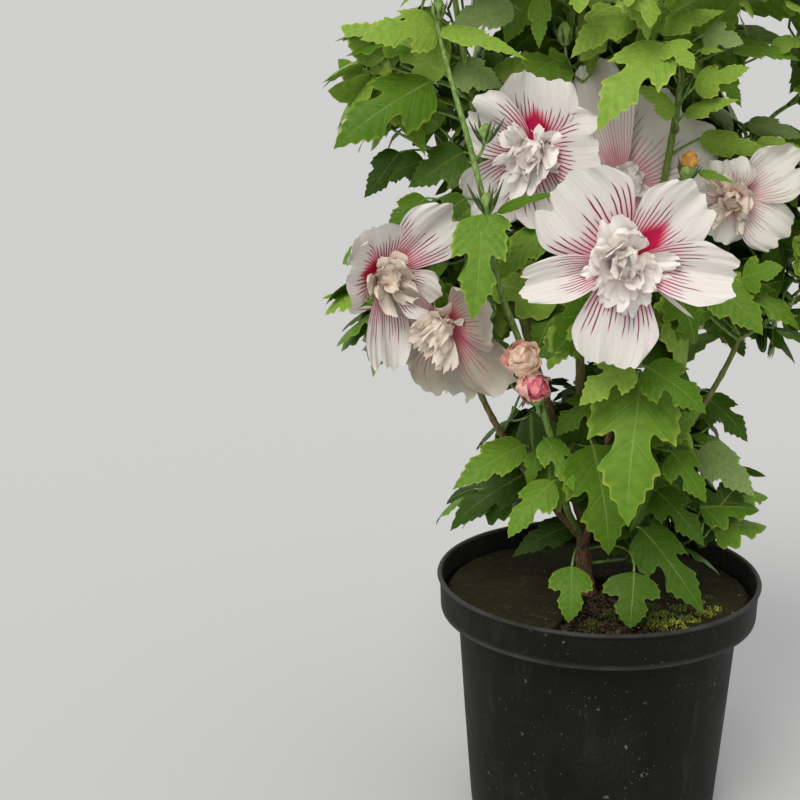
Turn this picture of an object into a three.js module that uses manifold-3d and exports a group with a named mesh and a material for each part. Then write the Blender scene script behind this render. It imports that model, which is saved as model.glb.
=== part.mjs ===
// A potted hibiscus shrub: a nursery pot with its compost and mulch disc, and the plant's trunk,
// boughs and masses of foliage. Millimetres, +Z up, and -Y is the front. The origin is the centre of
// the pot's flat underside.
import * as THREE from "three";
import { mergeVertices } from "three/addons/utils/BufferGeometryUtils.js";
import Module from "manifold-3d";

const wasm = await Module();
wasm.setup();

// Clearance between solids that touch, and the distance under which vertices are one
const GAP = 0.35;
const SAME_VERTEX = 1e-4;

// Pot: a tapered cup with a broad band round its rim
const RIM_RADIUS = 110;
const POT_HEIGHT = 172;
const SHOULDER_RADIUS = 96;
const FOOT_RADIUS = 84.5;
const BAND_HEIGHT = 25.5;
const WALL = 2;
const LIP = 1.5;
const POT_SIDES = 36;
const DRAIN_HOLES = 6;
const DRAIN_RADIUS = 6;
const DRAIN_CIRCLE = 64;
const DRAIN_SIDES = 6;

// What fills the pot: compost, with a split felt disc on it that lies higher at the front
const FILL_HEIGHT = 157;
const FILL_TILT = THREE.MathUtils.degToRad(2.5);
const DISC_RADIUS = 101;
const DISC_EYE = 22;
const DISC_THICKNESS = 4;
const DISC_SPLIT_FROM = THREE.MathUtils.degToRad(-108);
const DISC_SPLIT_TO = THREE.MathUtils.degToRad(-48);
const DISC_STEPS = 18;

// Trunk: short, with a flared root collar
const TRUNK_X = -9;
const TRUNK_LEAN = 3;
const TRUNK_TOP = 232;
const TRUNK_FOOT_RADIUS = 5.6;
const TRUNK_TOP_RADIUS = 3.8;
const COLLAR_FLARE = 0.6;
const COLLAR_HEIGHT = 0.12;
const LIMB_SIDES = 6;
const LIMB_STEPS = 5;

// Boughs: each leaves the trunk at a height, bows outwards by bow and ends at tip
const BOUGH_TIP_RADIUS = 1.6;
const BOUGHS = [
  { name: "bough_front", leaves: 190, tip: [10, -50, 352], bow: 9, radius: 3.0 },
  { name: "bough_left", leaves: 196, tip: [-92, -32, 338], bow: 12, radius: 3.0 },
  { name: "bough_right", leaves: 202, tip: [86, -10, 342], bow: 13, radius: 3.0 },
  { name: "bough_back_left", leaves: 208, tip: [-54, 48, 346], bow: 10, radius: 2.8 },
  { name: "bough_back_right", leaves: 213, tip: [48, 54, 344], bow: 10, radius: 2.8 },
  { name: "leader_left", leaves: 219, tip: [-106, -26, 600], bow: 12, radius: 3.2 },
  { name: "leader_right", leaves: 224, tip: [50, -8, 612], bow: 11, radius: 3.2 },
  { name: "leader_middle", leaves: 230, tip: [-22, 14, 640], bow: 6, radius: 3.4 },
];

// Masses of foliage, tier by tier from the foot up: centre and half sizes along X, Y and Z
const MASSES = [
  { name: "foliage_low_front", at: [10, -54, 250], half: [76, 54, 72] },
  { name: "foliage_low_left", at: [-66, 0, 252], half: [54, 66, 74] },
  { name: "foliage_low_right", at: [66, 2, 248], half: [54, 66, 70] },
  { name: "foliage_low_back", at: [4, 60, 252], half: [76, 56, 74] },
  { name: "foliage_mid_front", at: [14, -78, 392], half: [82, 54, 78] },
  { name: "foliage_mid_left", at: [-116, -38, 370], half: [62, 64, 76] },
  { name: "foliage_mid_right", at: [110, -14, 376], half: [66, 68, 72] },
  { name: "foliage_mid_back_left", at: [-76, 76, 384], half: [78, 68, 80] },
  { name: "foliage_mid_back_right", at: [70, 82, 380], half: [78, 68, 80] },
  { name: "foliage_upper_front", at: [4, -54, 506], half: [72, 62, 64] },
  { name: "foliage_upper_left", at: [-100, -12, 490], half: [80, 74, 70] },
  { name: "foliage_upper_right", at: [98, 0, 488], half: [78, 74, 70] },
  { name: "foliage_upper_back", at: [0, 82, 500], half: [90, 70, 76] },
  { name: "foliage_top_left", at: [-88, -18, 584], half: [56, 54, 62] },
  { name: "foliage_top_right", at: [62, -10, 592], half: [58, 56, 66] },
  { name: "foliage_top_middle", at: [-14, 20, 618], half: [50, 56, 66] },
  { name: "foliage_tip_left", at: [-98, -18, 652], half: [26, 26, 32] },
  { name: "foliage_tip_right", at: [60, -12, 666], half: [28, 28, 34] },
  { name: "foliage_tip_middle", at: [-18, 20, 690], half: [26, 28, 34] },
];
const MASS_DETAIL = 2;
const LOBES = 9;
const LOBE_SIZE = 0.17;
const LOBE_LEVEL = 0.6;
const LOBE_SHARPNESS = 7;
const GOLDEN_ANGLE = Math.PI * (3 - Math.sqrt(5));

// A three.js geometry as a manifold solid
function solidOf(geometry) {
  geometry.deleteAttribute("normal");
  geometry.deleteAttribute("uv");
  const merged = mergeVertices(geometry, SAME_VERTEX);
  return new wasm.Manifold(
    new wasm.Mesh({
      numProp: 3,
      vertProperties: new Float32Array(merged.attributes.position.array),
      triVerts: new Uint32Array(merged.index.array),
    }),
  );
}

// A manifold solid as a three.js geometry
function geometryOf(solid) {
  const mesh = solid.getMesh();
  const geometry = new THREE.BufferGeometry();
  geometry.setAttribute("position", new THREE.BufferAttribute(mesh.vertProperties, 3));
  geometry.setIndex(new THREE.BufferAttribute(mesh.triVerts, 1));
  geometry.computeVertexNormals();
  return geometry;
}

// The largest body of a solid that a cut has left in several
function largestBody(solid) {
  const bodies = solid.decompose();
  return bodies.reduce((best, body) => (body.volume() > best.volume() ? body : best));
}

// A lathe about the Z axis from [radius, height] pairs
function lathe(profile, sides) {
  const points = profile.map(([radius, height]) => new THREE.Vector2(radius, height));
  return new THREE.LatheGeometry(points, sides).rotateX(Math.PI / 2);
}

// The radius inside the pot's wall at a height below its band
function innerRadius(height) {
  const slope = (SHOULDER_RADIUS - FOOT_RADIUS) / (POT_HEIGHT - BAND_HEIGHT);
  return FOOT_RADIUS - WALL + slope * height;
}

function potSolid() {
  const shoulder = POT_HEIGHT - BAND_HEIGHT;
  const cup = solidOf(
    lathe(
      [
        [0, 0],
        [FOOT_RADIUS - LIP, 0],
        [FOOT_RADIUS, LIP],
        [SHOULDER_RADIUS, shoulder],
        [RIM_RADIUS - 2 * LIP, shoulder],
        [RIM_RADIUS - LIP, POT_HEIGHT - 2 * LIP],
        [RIM_RADIUS, POT_HEIGHT - LIP],
        [RIM_RADIUS - LIP / 2, POT_HEIGHT],
        [RIM_RADIUS - LIP - WALL, POT_HEIGHT],
        [RIM_RADIUS - 2 * LIP - WALL, shoulder + WALL],
        [innerRadius(shoulder), shoulder + WALL],
        [innerRadius(WALL), WALL],
        [0, WALL],
      ],
      POT_SIDES,
    ),
  );
  const holes = Array.from({ length: DRAIN_HOLES }, (_, i) => {
    const turn = ((i + 0.5) * 2 * Math.PI) / DRAIN_HOLES;
    const drill = new THREE.CylinderGeometry(DRAIN_RADIUS, DRAIN_RADIUS, 4 * WALL, DRAIN_SIDES);
    drill.rotateX(Math.PI / 2);
    drill.translate(DRAIN_CIRCLE * Math.cos(turn), DRAIN_CIRCLE * Math.sin(turn), 0);
    return solidOf(drill);
  });
  return holes.reduce((pot, hole) => pot.subtract(hole), cup);
}

// Turns a shape that lies on the level z = 0 into the slope of the fill, at the fill's height
function ontoFill(geometry) {
  return geometry.rotateX(-FILL_TILT).translate(0, 0, FILL_HEIGHT);
}

function compostSolid() {
  const shoulder = POT_HEIGHT - BAND_HEIGHT + WALL;
  const bandRadius = RIM_RADIUS - 2 * LIP - WALL - GAP;
  const fill = solidOf(
    lathe(
      [
        [0, WALL + GAP],
        [innerRadius(WALL) - GAP, WALL + GAP],
        [innerRadius(shoulder) - GAP, shoulder + GAP],
        [bandRadius, shoulder + GAP],
        [bandRadius, POT_HEIGHT],
        [0, POT_HEIGHT],
      ],
      POT_SIDES,
    ),
  );
  const side = 4 * RIM_RADIUS;
  const above = new THREE.BoxGeometry(side, side, side).translate(0, 0, side / 2);
  return fill.subtract(solidOf(ontoFill(above)));
}

// A flat ring with a wedge missing, from one edge of the split round to the other
function discSolid() {
  const outline = new THREE.Shape();
  outline.absarc(0, 0, DISC_RADIUS, DISC_SPLIT_TO, DISC_SPLIT_FROM + 2 * Math.PI, false);
  outline.absarc(0, 0, DISC_EYE, DISC_SPLIT_FROM + 2 * Math.PI, DISC_SPLIT_TO, true);
  outline.closePath();
  const disc = new THREE.ExtrudeGeometry(outline, {
    depth: DISC_THICKNESS,
    bevelEnabled: false,
    curveSegments: DISC_STEPS,
  });
  return solidOf(ontoFill(disc.translate(0, 0, GAP)));
}

// A cylinder bent along a curve, with its radius at each step from radiusAt(0 to 1), grown by extra
function limbGeometry(curve, radiusAt, extra) {
  const limb = new THREE.CylinderGeometry(1, 1, 1, LIMB_SIDES, LIMB_STEPS);
  const frames = curve.computeFrenetFrames(LIMB_STEPS, false);
  const place = limb.attributes.position;
  for (let i = 0; i < place.count; i += 1) {
    const t = place.getY(i) + 0.5;
    const step = Math.round(t * LIMB_STEPS);
    const radius = radiusAt(t) + extra;
    const point = curve.getPoint(t);
    point.addScaledVector(frames.binormals[step], place.getX(i) * radius);
    point.addScaledVector(frames.normals[step], place.getZ(i) * radius);
    place.setXYZ(i, point.x, point.y, point.z);
  }
  return limb;
}

// The trunk's centre at a height, on its slight lean
function trunkPoint(height) {
  const foot = FILL_HEIGHT;
  const rise = (height - foot) / (TRUNK_TOP - foot);
  return new THREE.Vector3(TRUNK_X - TRUNK_LEAN * rise, 0, height);
}

function trunkSolid(extra) {
  const standing = GAP + TRUNK_FOOT_RADIUS * (1 + COLLAR_FLARE) * Math.tan(FILL_TILT);
  const curve = new THREE.LineCurve3(trunkPoint(FILL_HEIGHT + standing), trunkPoint(TRUNK_TOP + extra));
  const radiusAt = (t) => {
    const taper = THREE.MathUtils.lerp(TRUNK_FOOT_RADIUS, TRUNK_TOP_RADIUS, t);
    return taper * (1 + COLLAR_FLARE * Math.exp(-t / COLLAR_HEIGHT));
  };
  return solidOf(limbGeometry(curve, radiusAt, extra));
}

// A tapered bough from the trunk's axis to its tip. Its middle lies bow outside the straight line,
// as the curve's middle lies half way to the bend.
function boughSolid({ leaves, tip, bow, radius }, extra) {
  const start = trunkPoint(leaves);
  const end = new THREE.Vector3(...tip);
  const outwards = end.clone().sub(start).setZ(0).normalize();
  const bend = start.clone().lerp(end, 0.5).addScaledVector(outwards, 2 * bow);
  const curve = new THREE.QuadraticBezierCurve3(start, bend, end);
  const radiusAt = (t) => THREE.MathUtils.lerp(radius, BOUGH_TIP_RADIUS, t);
  return solidOf(limbGeometry(curve, radiusAt, extra));
}

// An uneven ball: an ellipsoid with lobes spread over it by the golden angle, turned by its number
function massSolid({ at, half }, number, extra) {
  const ball = new THREE.IcosahedronGeometry(1, MASS_DETAIL);
  const lobes = Array.from({ length: LOBES }, (_, i) => {
    const height = 1 - (2 * i + 1) / LOBES;
    const turn = i * GOLDEN_ANGLE + number;
    const across = Math.sqrt(1 - height * height);
    return new THREE.Vector3(across * Math.cos(turn), across * Math.sin(turn), height);
  });
  const place = ball.attributes.position;
  const way = new THREE.Vector3();
  for (let i = 0; i < place.count; i += 1) {
    way.fromBufferAttribute(place, i).normalize();
    const nearest = Math.max(...lobes.map((lobe) => Math.exp(LOBE_SHARPNESS * (lobe.dot(way) - 1))));
    const reach = 1 + LOBE_SIZE * (nearest - LOBE_LEVEL);
    const [x, y, z] = half.map((h) => h * reach + extra);
    place.setXYZ(i, at[0] + way.x * x, at[1] + way.y * y, at[2] + way.z * z);
  }
  return solidOf(ball);
}

const MATERIALS = {
  pot: { color: 0x191a1b, roughness: 0.45, metalness: 0 },
  compost: { color: 0x2a2018, roughness: 0.95, metalness: 0 },
  disc: { color: 0x3a3a22, roughness: 0.95, metalness: 0 },
  bark: { color: 0x6d5236, roughness: 0.85, metalness: 0 },
  foliage: { color: 0x4f7d33, roughness: 0.6, metalness: 0 },
};

const group = new THREE.Group();

function add(name, solid, look) {
  const mesh = new THREE.Mesh(geometryOf(solid), new THREE.MeshStandardMaterial(MATERIALS[look]));
  mesh.name = name;
  group.add(mesh);
}

add("pot", potSolid(), "pot");
add("compost", compostSolid(), "compost");
add("mulch_disc", discSolid(), "disc");
add("trunk", trunkSolid(0), "bark");

// Each bough is cut clear of the trunk and of the boughs below it
let limbs = trunkSolid(GAP);
for (const bough of BOUGHS) {
  add(bough.name, largestBody(boughSolid(bough, 0).subtract(limbs)), "bark");
  limbs = limbs.add(boughSolid(bough, GAP));
}

// Each mass is cut clear of the limbs, and of the masses before it that it meets
let filled = limbs;
MASSES.forEach((mass, number) => {
  add(mass.name, largestBody(massSolid(mass, number, 0).subtract(filled)), "foliage");
  filled = filled.add(massSolid(mass, number, GAP));
});

export default group;
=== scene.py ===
import math
from collections import namedtuple

import bpy
import numpy as np
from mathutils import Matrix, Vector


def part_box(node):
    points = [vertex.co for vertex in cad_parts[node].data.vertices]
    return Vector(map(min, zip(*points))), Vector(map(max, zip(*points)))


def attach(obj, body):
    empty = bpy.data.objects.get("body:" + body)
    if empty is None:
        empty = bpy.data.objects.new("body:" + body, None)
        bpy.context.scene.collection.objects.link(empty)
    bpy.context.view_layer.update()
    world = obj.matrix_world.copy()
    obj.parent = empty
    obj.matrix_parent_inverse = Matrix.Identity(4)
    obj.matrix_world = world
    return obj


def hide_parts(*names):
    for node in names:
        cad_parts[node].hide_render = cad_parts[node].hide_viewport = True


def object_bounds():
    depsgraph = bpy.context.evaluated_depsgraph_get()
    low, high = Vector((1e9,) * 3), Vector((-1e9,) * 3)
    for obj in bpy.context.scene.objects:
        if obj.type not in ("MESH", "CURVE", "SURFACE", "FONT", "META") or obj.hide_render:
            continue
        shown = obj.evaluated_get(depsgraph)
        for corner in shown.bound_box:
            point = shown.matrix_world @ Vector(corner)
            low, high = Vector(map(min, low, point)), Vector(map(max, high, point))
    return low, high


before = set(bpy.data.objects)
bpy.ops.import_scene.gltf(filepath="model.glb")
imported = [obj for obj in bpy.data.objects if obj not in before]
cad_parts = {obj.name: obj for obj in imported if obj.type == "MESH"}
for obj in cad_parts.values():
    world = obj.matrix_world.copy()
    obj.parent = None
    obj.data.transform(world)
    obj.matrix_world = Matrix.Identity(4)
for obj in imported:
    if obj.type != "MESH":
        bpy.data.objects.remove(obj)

CAD_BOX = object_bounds()
MM = 0.001
GOLDEN_ANGLE = math.pi * (3 - math.sqrt(5))
UP = np.array([0.0, 0.0, 1.0])
FRONT = np.array([0.0, -1.0, 0.0])
chance = np.random.default_rng(41)

# The camera stands where the photograph's did
CAMERA_AT = np.array([0.0, -1038.5, 567.0])
CAMERA_PITCH = math.radians(14.87)
CAMERA_YAW = math.radians(7.5)
FRAME_PIXELS = 800
FOCAL_PIXELS = 1600
SENSOR = 24.0
CAMERA_RIGHT = np.array([math.cos(CAMERA_YAW), math.sin(CAMERA_YAW), 0.0])
CAMERA_AHEAD = np.array([
    -math.sin(CAMERA_YAW) * math.cos(CAMERA_PITCH),
    math.cos(CAMERA_YAW) * math.cos(CAMERA_PITCH),
    -math.sin(CAMERA_PITCH),
])
CAMERA_UP = np.cross(CAMERA_RIGHT, CAMERA_AHEAD)

# Pot, fill and felt disc, as the CAD model has them
RIM_RADIUS = 110
POT_HEIGHT = 172
SHOULDER_RADIUS = 96
FOOT_RADIUS = 84.5
BAND_HEIGHT = 25.5
POT_WALL = 2
FILL_HEIGHT = 157
FILL_TILT = math.radians(2.5)
DISC_RADIUS = 101
DISC_EYE = 22
DISC_THICKNESS = 4
DISC_SPLIT = (-108, -48)

# Trunk and boughs, as the CAD model has them
TRUNK_X = -9
TRUNK_LEAN = 3
TRUNK_TOP = 232
TRUNK_RADII = (5.6, 3.8)
BOUGH_TIP_RADIUS = 1.6

# A bough: the height at which it leaves the trunk, its tip, its bow outwards, and its radius
Bough = namedtuple("Bough", "leaves tip bow radius")
BOUGHS = {
    "bough_front": Bough(190, (10, -50, 352), 9, 3.0),
    "bough_left": Bough(196, (-92, -32, 338), 12, 3.0),
    "bough_right": Bough(202, (86, -10, 342), 13, 3.0),
    "bough_back_left": Bough(208, (-54, 48, 346), 10, 2.8),
    "bough_back_right": Bough(213, (48, 54, 344), 10, 2.8),
    "leader_left": Bough(219, (-106, -26, 600), 12, 3.2),
    "leader_right": Bough(224, (50, -8, 612), 11, 3.2),
    "leader_middle": Bough(230, (-22, 14, 640), 6, 3.4),
}
TIERS = {
    "low": ("front", "left", "right", "back"),
    "mid": ("front", "left", "right", "back_left", "back_right"),
    "upper": ("front", "left", "right", "back"),
    "top": ("left", "right", "middle"),
    "tip": ("left", "right", "middle"),
}


def unit(way):
    """A direction, or an array of them, of length one."""
    way = np.asarray(way, float)
    return way / np.maximum(np.linalg.norm(way, axis=-1, keepdims=True), 1e-9)


def seen_at(pixel, depth):
    """The place that the photograph shows at a pixel, depth millimetres behind the pot's middle."""
    middle = FRAME_PIXELS / 2
    ray = (
        FOCAL_PIXELS * CAMERA_AHEAD
        + (pixel[0] - middle) * CAMERA_RIGHT
        - (pixel[1] - middle) * CAMERA_UP
    )
    return CAMERA_AT + ray * (depth - CAMERA_AT[1]) / ray[1]


def in_view(places):
    """The pixels across and down, and the distances ahead, at which the camera sees places."""
    away = np.atleast_2d(places) - CAMERA_AT
    ahead = away @ CAMERA_AHEAD
    middle = FRAME_PIXELS / 2
    across = middle + FOCAL_PIXELS * (away @ CAMERA_RIGHT) / ahead
    down = middle - FOCAL_PIXELS * (away @ CAMERA_UP) / ahead
    return across, down, ahead


class Heap:
    """Many small things of one kind, kept as arrays until they are joined into one mesh."""

    def __init__(self):
        self.places = []
        self.faces = []
        self.slots = []
        self.marks = []
        self.tiles = []
        self.count = 0

    def add(self, places, faces, slot=0, marks=None, tile=None):
        """Adds a thing: its places, its faces by corner count, and what its finish reads."""
        total = len(places)
        for group in faces:
            self.faces.append(np.asarray(group) + self.count)
            self.slots.append(np.full(len(group), slot))
        self.places.append(places)
        self.marks.append(np.zeros((total, 3)) if marks is None else marks)
        self.tiles.append(np.zeros((total, 2)) if tile is None else tile)
        self.count += total

    def piece(self, name, looks, mapped=False):
        """The joined mesh, with its looks in the order of the slots."""
        mesh = bpy.data.meshes.new(name)
        mesh.vertices.add(self.count)
        mesh.vertices.foreach_set("co", (np.concatenate(self.places) * MM).astype(np.float32).ravel())
        corners = np.concatenate([group.ravel() for group in self.faces]).astype(np.int32)
        counts = np.concatenate([np.full(len(group), group.shape[1]) for group in self.faces])
        mesh.loops.add(len(corners))
        mesh.loops.foreach_set("vertex_index", corners)
        mesh.polygons.add(len(counts))
        mesh.polygons.foreach_set("loop_start", (np.cumsum(counts) - counts).astype(np.int32))
        mesh.polygons.foreach_set("material_index", np.concatenate(self.slots).astype(np.int32))
        mesh.update(calc_edges=True)
        marks = mesh.attributes.new("marks", "FLOAT_VECTOR", "POINT")
        marks.data.foreach_set("vector", np.concatenate(self.marks).astype(np.float32).ravel())
        if mapped:
            tiles = np.concatenate(self.tiles).astype(np.float32)[corners]
            mesh.uv_layers.new(name="OFBake").data.foreach_set("uv", tiles.ravel())
        mesh.validate()
        mesh.shade_smooth()
        for look in looks:
            mesh.materials.append(look)
        piece = bpy.data.objects.new(name, mesh)
        bpy.context.scene.collection.objects.link(piece)
        return piece


def present(piece, slot, *nodes):
    """Makes a finished piece part of the object: it rides on its one body, for some CAD nodes."""
    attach(piece, "root")
    if nodes:
        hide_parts(*nodes)


def pick(piece):
    """Makes a piece the only one selected, and the active one."""
    bpy.ops.object.select_all(action="DESELECT")
    piece.select_set(True)
    bpy.context.view_layer.objects.active = piece


class Finish:
    """A finish in the making: a material, its nodes and its one shader."""

    def __init__(self, name, colour, roughness, specular=0.5):
        self.material = bpy.data.materials.new(name)
        self.material.use_nodes = True
        self.tree = self.material.node_tree
        self.shader = next(n for n in self.tree.nodes if n.type == "BSDF_PRINCIPLED")
        self.shader.inputs["Base Color"].default_value = (*colour, 1)
        self.shader.inputs["Roughness"].default_value = roughness
        self.shader.inputs["Specular IOR Level"].default_value = specular

    def feed(self, socket, value):
        """Links a socket to another, or sets it."""
        if isinstance(value, bpy.types.NodeSocket):
            self.tree.links.new(value, socket)
        elif isinstance(value, tuple) and len(value) == 3 and len(socket.default_value) == 4:
            socket.default_value = (*value, 1)
        else:
            socket.default_value = value

    def node(self, kind, inputs, **settings):
        """A node of a kind, with its settings and inputs."""
        made = self.tree.nodes.new("ShaderNode" + kind)
        for key, value in settings.items():
            setattr(made, key, value)
        for key, value in inputs.items():
            self.feed(made.inputs[key], value)
        return made

    def arithmetic(self, operation, a, b=0.0, clamp=False):
        """One step of arithmetic on numbers or sockets."""
        made = self.node("Math", {0: a, 1: b}, operation=operation, use_clamp=clamp)
        return made.outputs[0]

    def plus(self, a, b):
        """a and b together."""
        return self.arithmetic("ADD", a, b)

    def minus(self, a, b, clamp=False):
        """a without b, and never below 0 if clamped."""
        return self.arithmetic("SUBTRACT", a, b, clamp)

    def times(self, a, b):
        """a multiplied by b."""
        return self.arithmetic("MULTIPLY", a, b)

    def larger(self, a, b):
        """The larger one of a and b."""
        return self.arithmetic("MAXIMUM", a, b)

    def marks(self):
        """The three numbers that the mesh carries at each place."""
        carried = self.node("Attribute", {}, attribute_name="marks", attribute_type="GEOMETRY")
        parts = self.node("SeparateXYZ", {"Vector": carried.outputs["Vector"]})
        return carried.outputs["Vector"], parts.outputs[0], parts.outputs[1], parts.outputs[2]

    def here(self, stretch=(1, 1, 1)):
        """The place on the object, stretched along its axes."""
        place = self.node("TexCoord", {}).outputs["Object"]
        return self.node("Mapping", {"Vector": place, "Scale": stretch}).outputs[0]

    def height(self):
        """The height above the pot's foot, in metres."""
        return self.node("SeparateXYZ", {"Vector": self.here()}).outputs[2]

    def stretched(self, vector, by):
        """A vector multiplied along each of its axes."""
        return self.node("VectorMath", {0: vector, 1: by}, operation="MULTIPLY").outputs[0]

    def noise(self, place, scale, detail=3.0, roughness=0.5):
        """Soft noise from 0 to 1."""
        inputs = {"Vector": place, "Scale": scale, "Detail": detail, "Roughness": roughness}
        return self.node("TexNoise", inputs).outputs[0]

    def cells(self, place, scale):
        """Distances to scattered points."""
        return self.node("TexVoronoi", {"Vector": place, "Scale": scale}).outputs[0]

    def step(self, value, start, end, low=0.0, high=1.0):
        """A smooth step from low at start to high at end."""
        inputs = {"Value": value, "From Min": start, "From Max": end, "To Min": low, "To Max": high}
        return self.node("MapRange", inputs, interpolation_type="SMOOTHSTEP").outputs[0]

    def mix(self, share, a, b):
        """Colour a, with a share of colour b."""
        return self.node("Mix", {0: share, 6: a, 7: b}, data_type="RGBA").outputs[2]

    def colour(self, value):
        """Sets or links the colour."""
        self.feed(self.shader.inputs["Base Color"], value)

    def roughness(self, value):
        """Sets or links how rough it is."""
        self.feed(self.shader.inputs["Roughness"], value)

    def bump(self, height, depth, strength=1.0):
        """Relief from a height, depth metres deep."""
        made = self.node("Bump", {"Height": height, "Distance": depth, "Strength": strength})
        self.feed(self.shader.inputs["Normal"], made.outputs[0])


def bezier(start, bend, end, steps):
    """Places along a curve that heads for bend on its way."""
    t = np.linspace(0, 1, steps + 1)[:, None]
    start, bend, end = (np.asarray(place, float) for place in (start, bend, end))
    return (1 - t) ** 2 * start + 2 * t * (1 - t) * bend + t**2 * end


def ring_faces(rings, sides):
    """The faces of a closed body of rings: quads between the rings, and a cap at each end."""
    ring = np.arange(sides)
    after = (ring + 1) % sides
    first = sides * np.arange(rings - 1)[:, None]
    quads = np.stack([first + ring, first + after, first + sides + after, first + sides + ring], 2)
    caps = np.stack([ring[::-1], sides * (rings - 1) + ring])
    return [quads.reshape(-1, 4), caps]


def tube(route, radii, sides):
    """A closed tube along a route: its places, and its faces by corner count."""
    ahead = unit(np.gradient(route, axis=0))
    across = np.zeros_like(ahead)
    last = np.cross(ahead[0], UP + 0.3 * FRONT + 0.01)
    for i, way in enumerate(ahead):
        last = unit(last - way * (last @ way))
        across[i] = last
    beside = np.cross(ahead, across)
    turn = 2 * math.pi * np.arange(sides) / sides
    rim = np.cos(turn)[:, None] * across[:, None] + np.sin(turn)[:, None] * beside[:, None]
    places = route[:, None] + np.asarray(radii)[:, None, None] * rim
    return places.reshape(-1, 3), ring_faces(len(route), sides)


def round_body(axis, start, length, radius_at, sides=15, rings=12):
    """A closed body round an axis: radius_at gives its radius from a share along and a turn."""
    side = unit(np.cross(axis, FRONT + 0.2 * UP + 0.11))
    other = np.cross(axis, side)
    share = np.linspace(0.02, 0.98, rings)[:, None]
    turn = 2 * math.pi * np.arange(sides)[None, :] / sides
    radius = radius_at(share, turn)
    places = (
        start
        + (share * length)[:, :, None] * axis
        + (radius * np.cos(turn))[:, :, None] * side
        + (radius * np.sin(turn))[:, :, None] * other
    )
    return places.reshape(-1, 3), ring_faces(rings, sides)


def grid_faces(rows, columns):
    """The quads of a sheet whose places run row by row."""
    first = (columns * np.arange(rows - 1)[:, None] + np.arange(columns - 1)).ravel()
    return [np.stack([first, first + 1, first + columns + 1, first + columns], 1)]


def turned(way, axis, angle):
    """A direction turned about an axis."""
    axis = unit(axis)
    return (
        way * math.cos(angle)
        + np.cross(axis, way) * math.sin(angle)
        + axis * (axis @ way) * (1 - math.cos(angle))
    )


# Wood: every place that something can grow from, with limbs first and twigs as they grow

wood = []

# Wood that is less than this far below a stalk's end is too high for it, and each millimetre too
# high costs as much as this many millimetres of distance
STALK_DROP = 12
HIGHER_WOOD_COST = 0.8


def trunk_point(height):
    """The trunk's middle at a height, on its slight lean."""
    rise = (height - FILL_HEIGHT) / (TRUNK_TOP - FILL_HEIGHT)
    return np.array([TRUNK_X - TRUNK_LEAN * rise, 0.0, height])


def bough_route(bough, steps):
    """A bough's middle line from the trunk to its tip."""
    start = trunk_point(bough.leaves)
    end = np.array(bough.tip, float)
    outwards = unit((end - start) * (1, 1, 0))
    return bezier(start, (start + end) / 2 + 2 * bough.bow * outwards, end, steps)


def nearest_wood(place):
    """The wood that something at a place would grow from: close by, and not much above it."""
    known = np.concatenate(wood)
    away = np.linalg.norm(known - place, axis=1)
    above = np.maximum(known[:, 2] - place[2] + STALK_DROP, 0)
    return known[np.argmin(away + HIGHER_WOOD_COST * above)]


# How the limbs are made: lengths in millimetres, the bare trunk in steps, the rest as shares
LIMB_STEP = 1.6
JOINT_STEP = 17.0
JOINT_LENGTH = 1.8
JOINT_SWELLING = 0.16
ROOT_FLARE = 0.6
ROOT_FLARE_SHARE = 0.12
BARE_TRUNK_STEPS = 12
BARE_BOUGH_SHARE = 0.12
COLLAR = 1.1
COLLAR_LENGTH = 6
TRUNK_RIDGES = 0.9
BOUGH_RIDGES = 0.35


def limb_curve(name, route, radii):
    """One limb as a curve with a round section, swollen a little at each old leaf joint."""
    bpy.ops.object.select_all(action="DESELECT")
    bpy.ops.curve.primitive_bezier_curve_add(radius=1)
    limb = bpy.context.object
    limb.name = name
    curve = limb.data
    curve.splines.clear()
    spline = curve.splines.new("POLY")
    spline.points.add(len(route) - 1)
    spline.points.foreach_set("co", np.column_stack([route * MM, np.ones(len(route))]).ravel())
    gone = np.concatenate([[0], np.cumsum(np.linalg.norm(np.diff(route, axis=0), axis=1))])
    from_joint = (gone % JOINT_STEP) - JOINT_STEP / 2
    swell = 1 + JOINT_SWELLING * np.exp(-((from_joint / JOINT_LENGTH) ** 2))
    spline.points.foreach_set("radius", radii * swell)
    curve.dimensions = "3D"
    curve.bevel_depth = MM
    curve.bevel_resolution = 3
    curve.use_fill_caps = True
    return limb


def bark_relief(limb, depth):
    """Turns a limb into a mesh with the bark's ridges in it."""
    bpy.ops.object.convert(target="MESH")
    ridges = bpy.data.textures.new("bark_ridges", "CLOUDS")
    ridges.noise_scale = 0.004
    ridges.noise_depth = 3
    bpy.ops.object.modifier_add(type="DISPLACE")
    relief = limb.modifiers[-1]
    relief.texture = ridges
    relief.strength = depth
    relief.mid_level = 0.5
    bpy.ops.object.modifier_apply(modifier=relief.name)
    bpy.ops.object.shade_smooth()


def bark_finish():
    """Brown ridged bark at the foot that turns into smooth green wood higher up."""
    look = Finish("bark_brown_to_green", (0.17, 0.1, 0.05), 0.75, 0.3)
    ridges = look.noise(look.here((1, 1, 0.18)), 900, 4, 0.65)
    height = look.height()
    patch = look.noise(look.here(), 60, 3)
    brown = look.mix(look.step(ridges, 0.35, 0.68), (0.085, 0.045, 0.024), (0.3, 0.17, 0.085))
    brown = look.mix(look.step(patch, 0.5, 0.72, 0, 0.5), brown, (0.26, 0.23, 0.17))
    green = look.mix(look.step(ridges, 0.3, 0.7), (0.12, 0.2, 0.03), (0.24, 0.34, 0.075))
    age = look.plus(height, look.times(patch, 0.06))
    look.colour(look.mix(look.step(age, 0.27, 0.42), brown, green))
    look.bump(ridges, 0.0006, 0.7)
    return look.material


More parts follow.
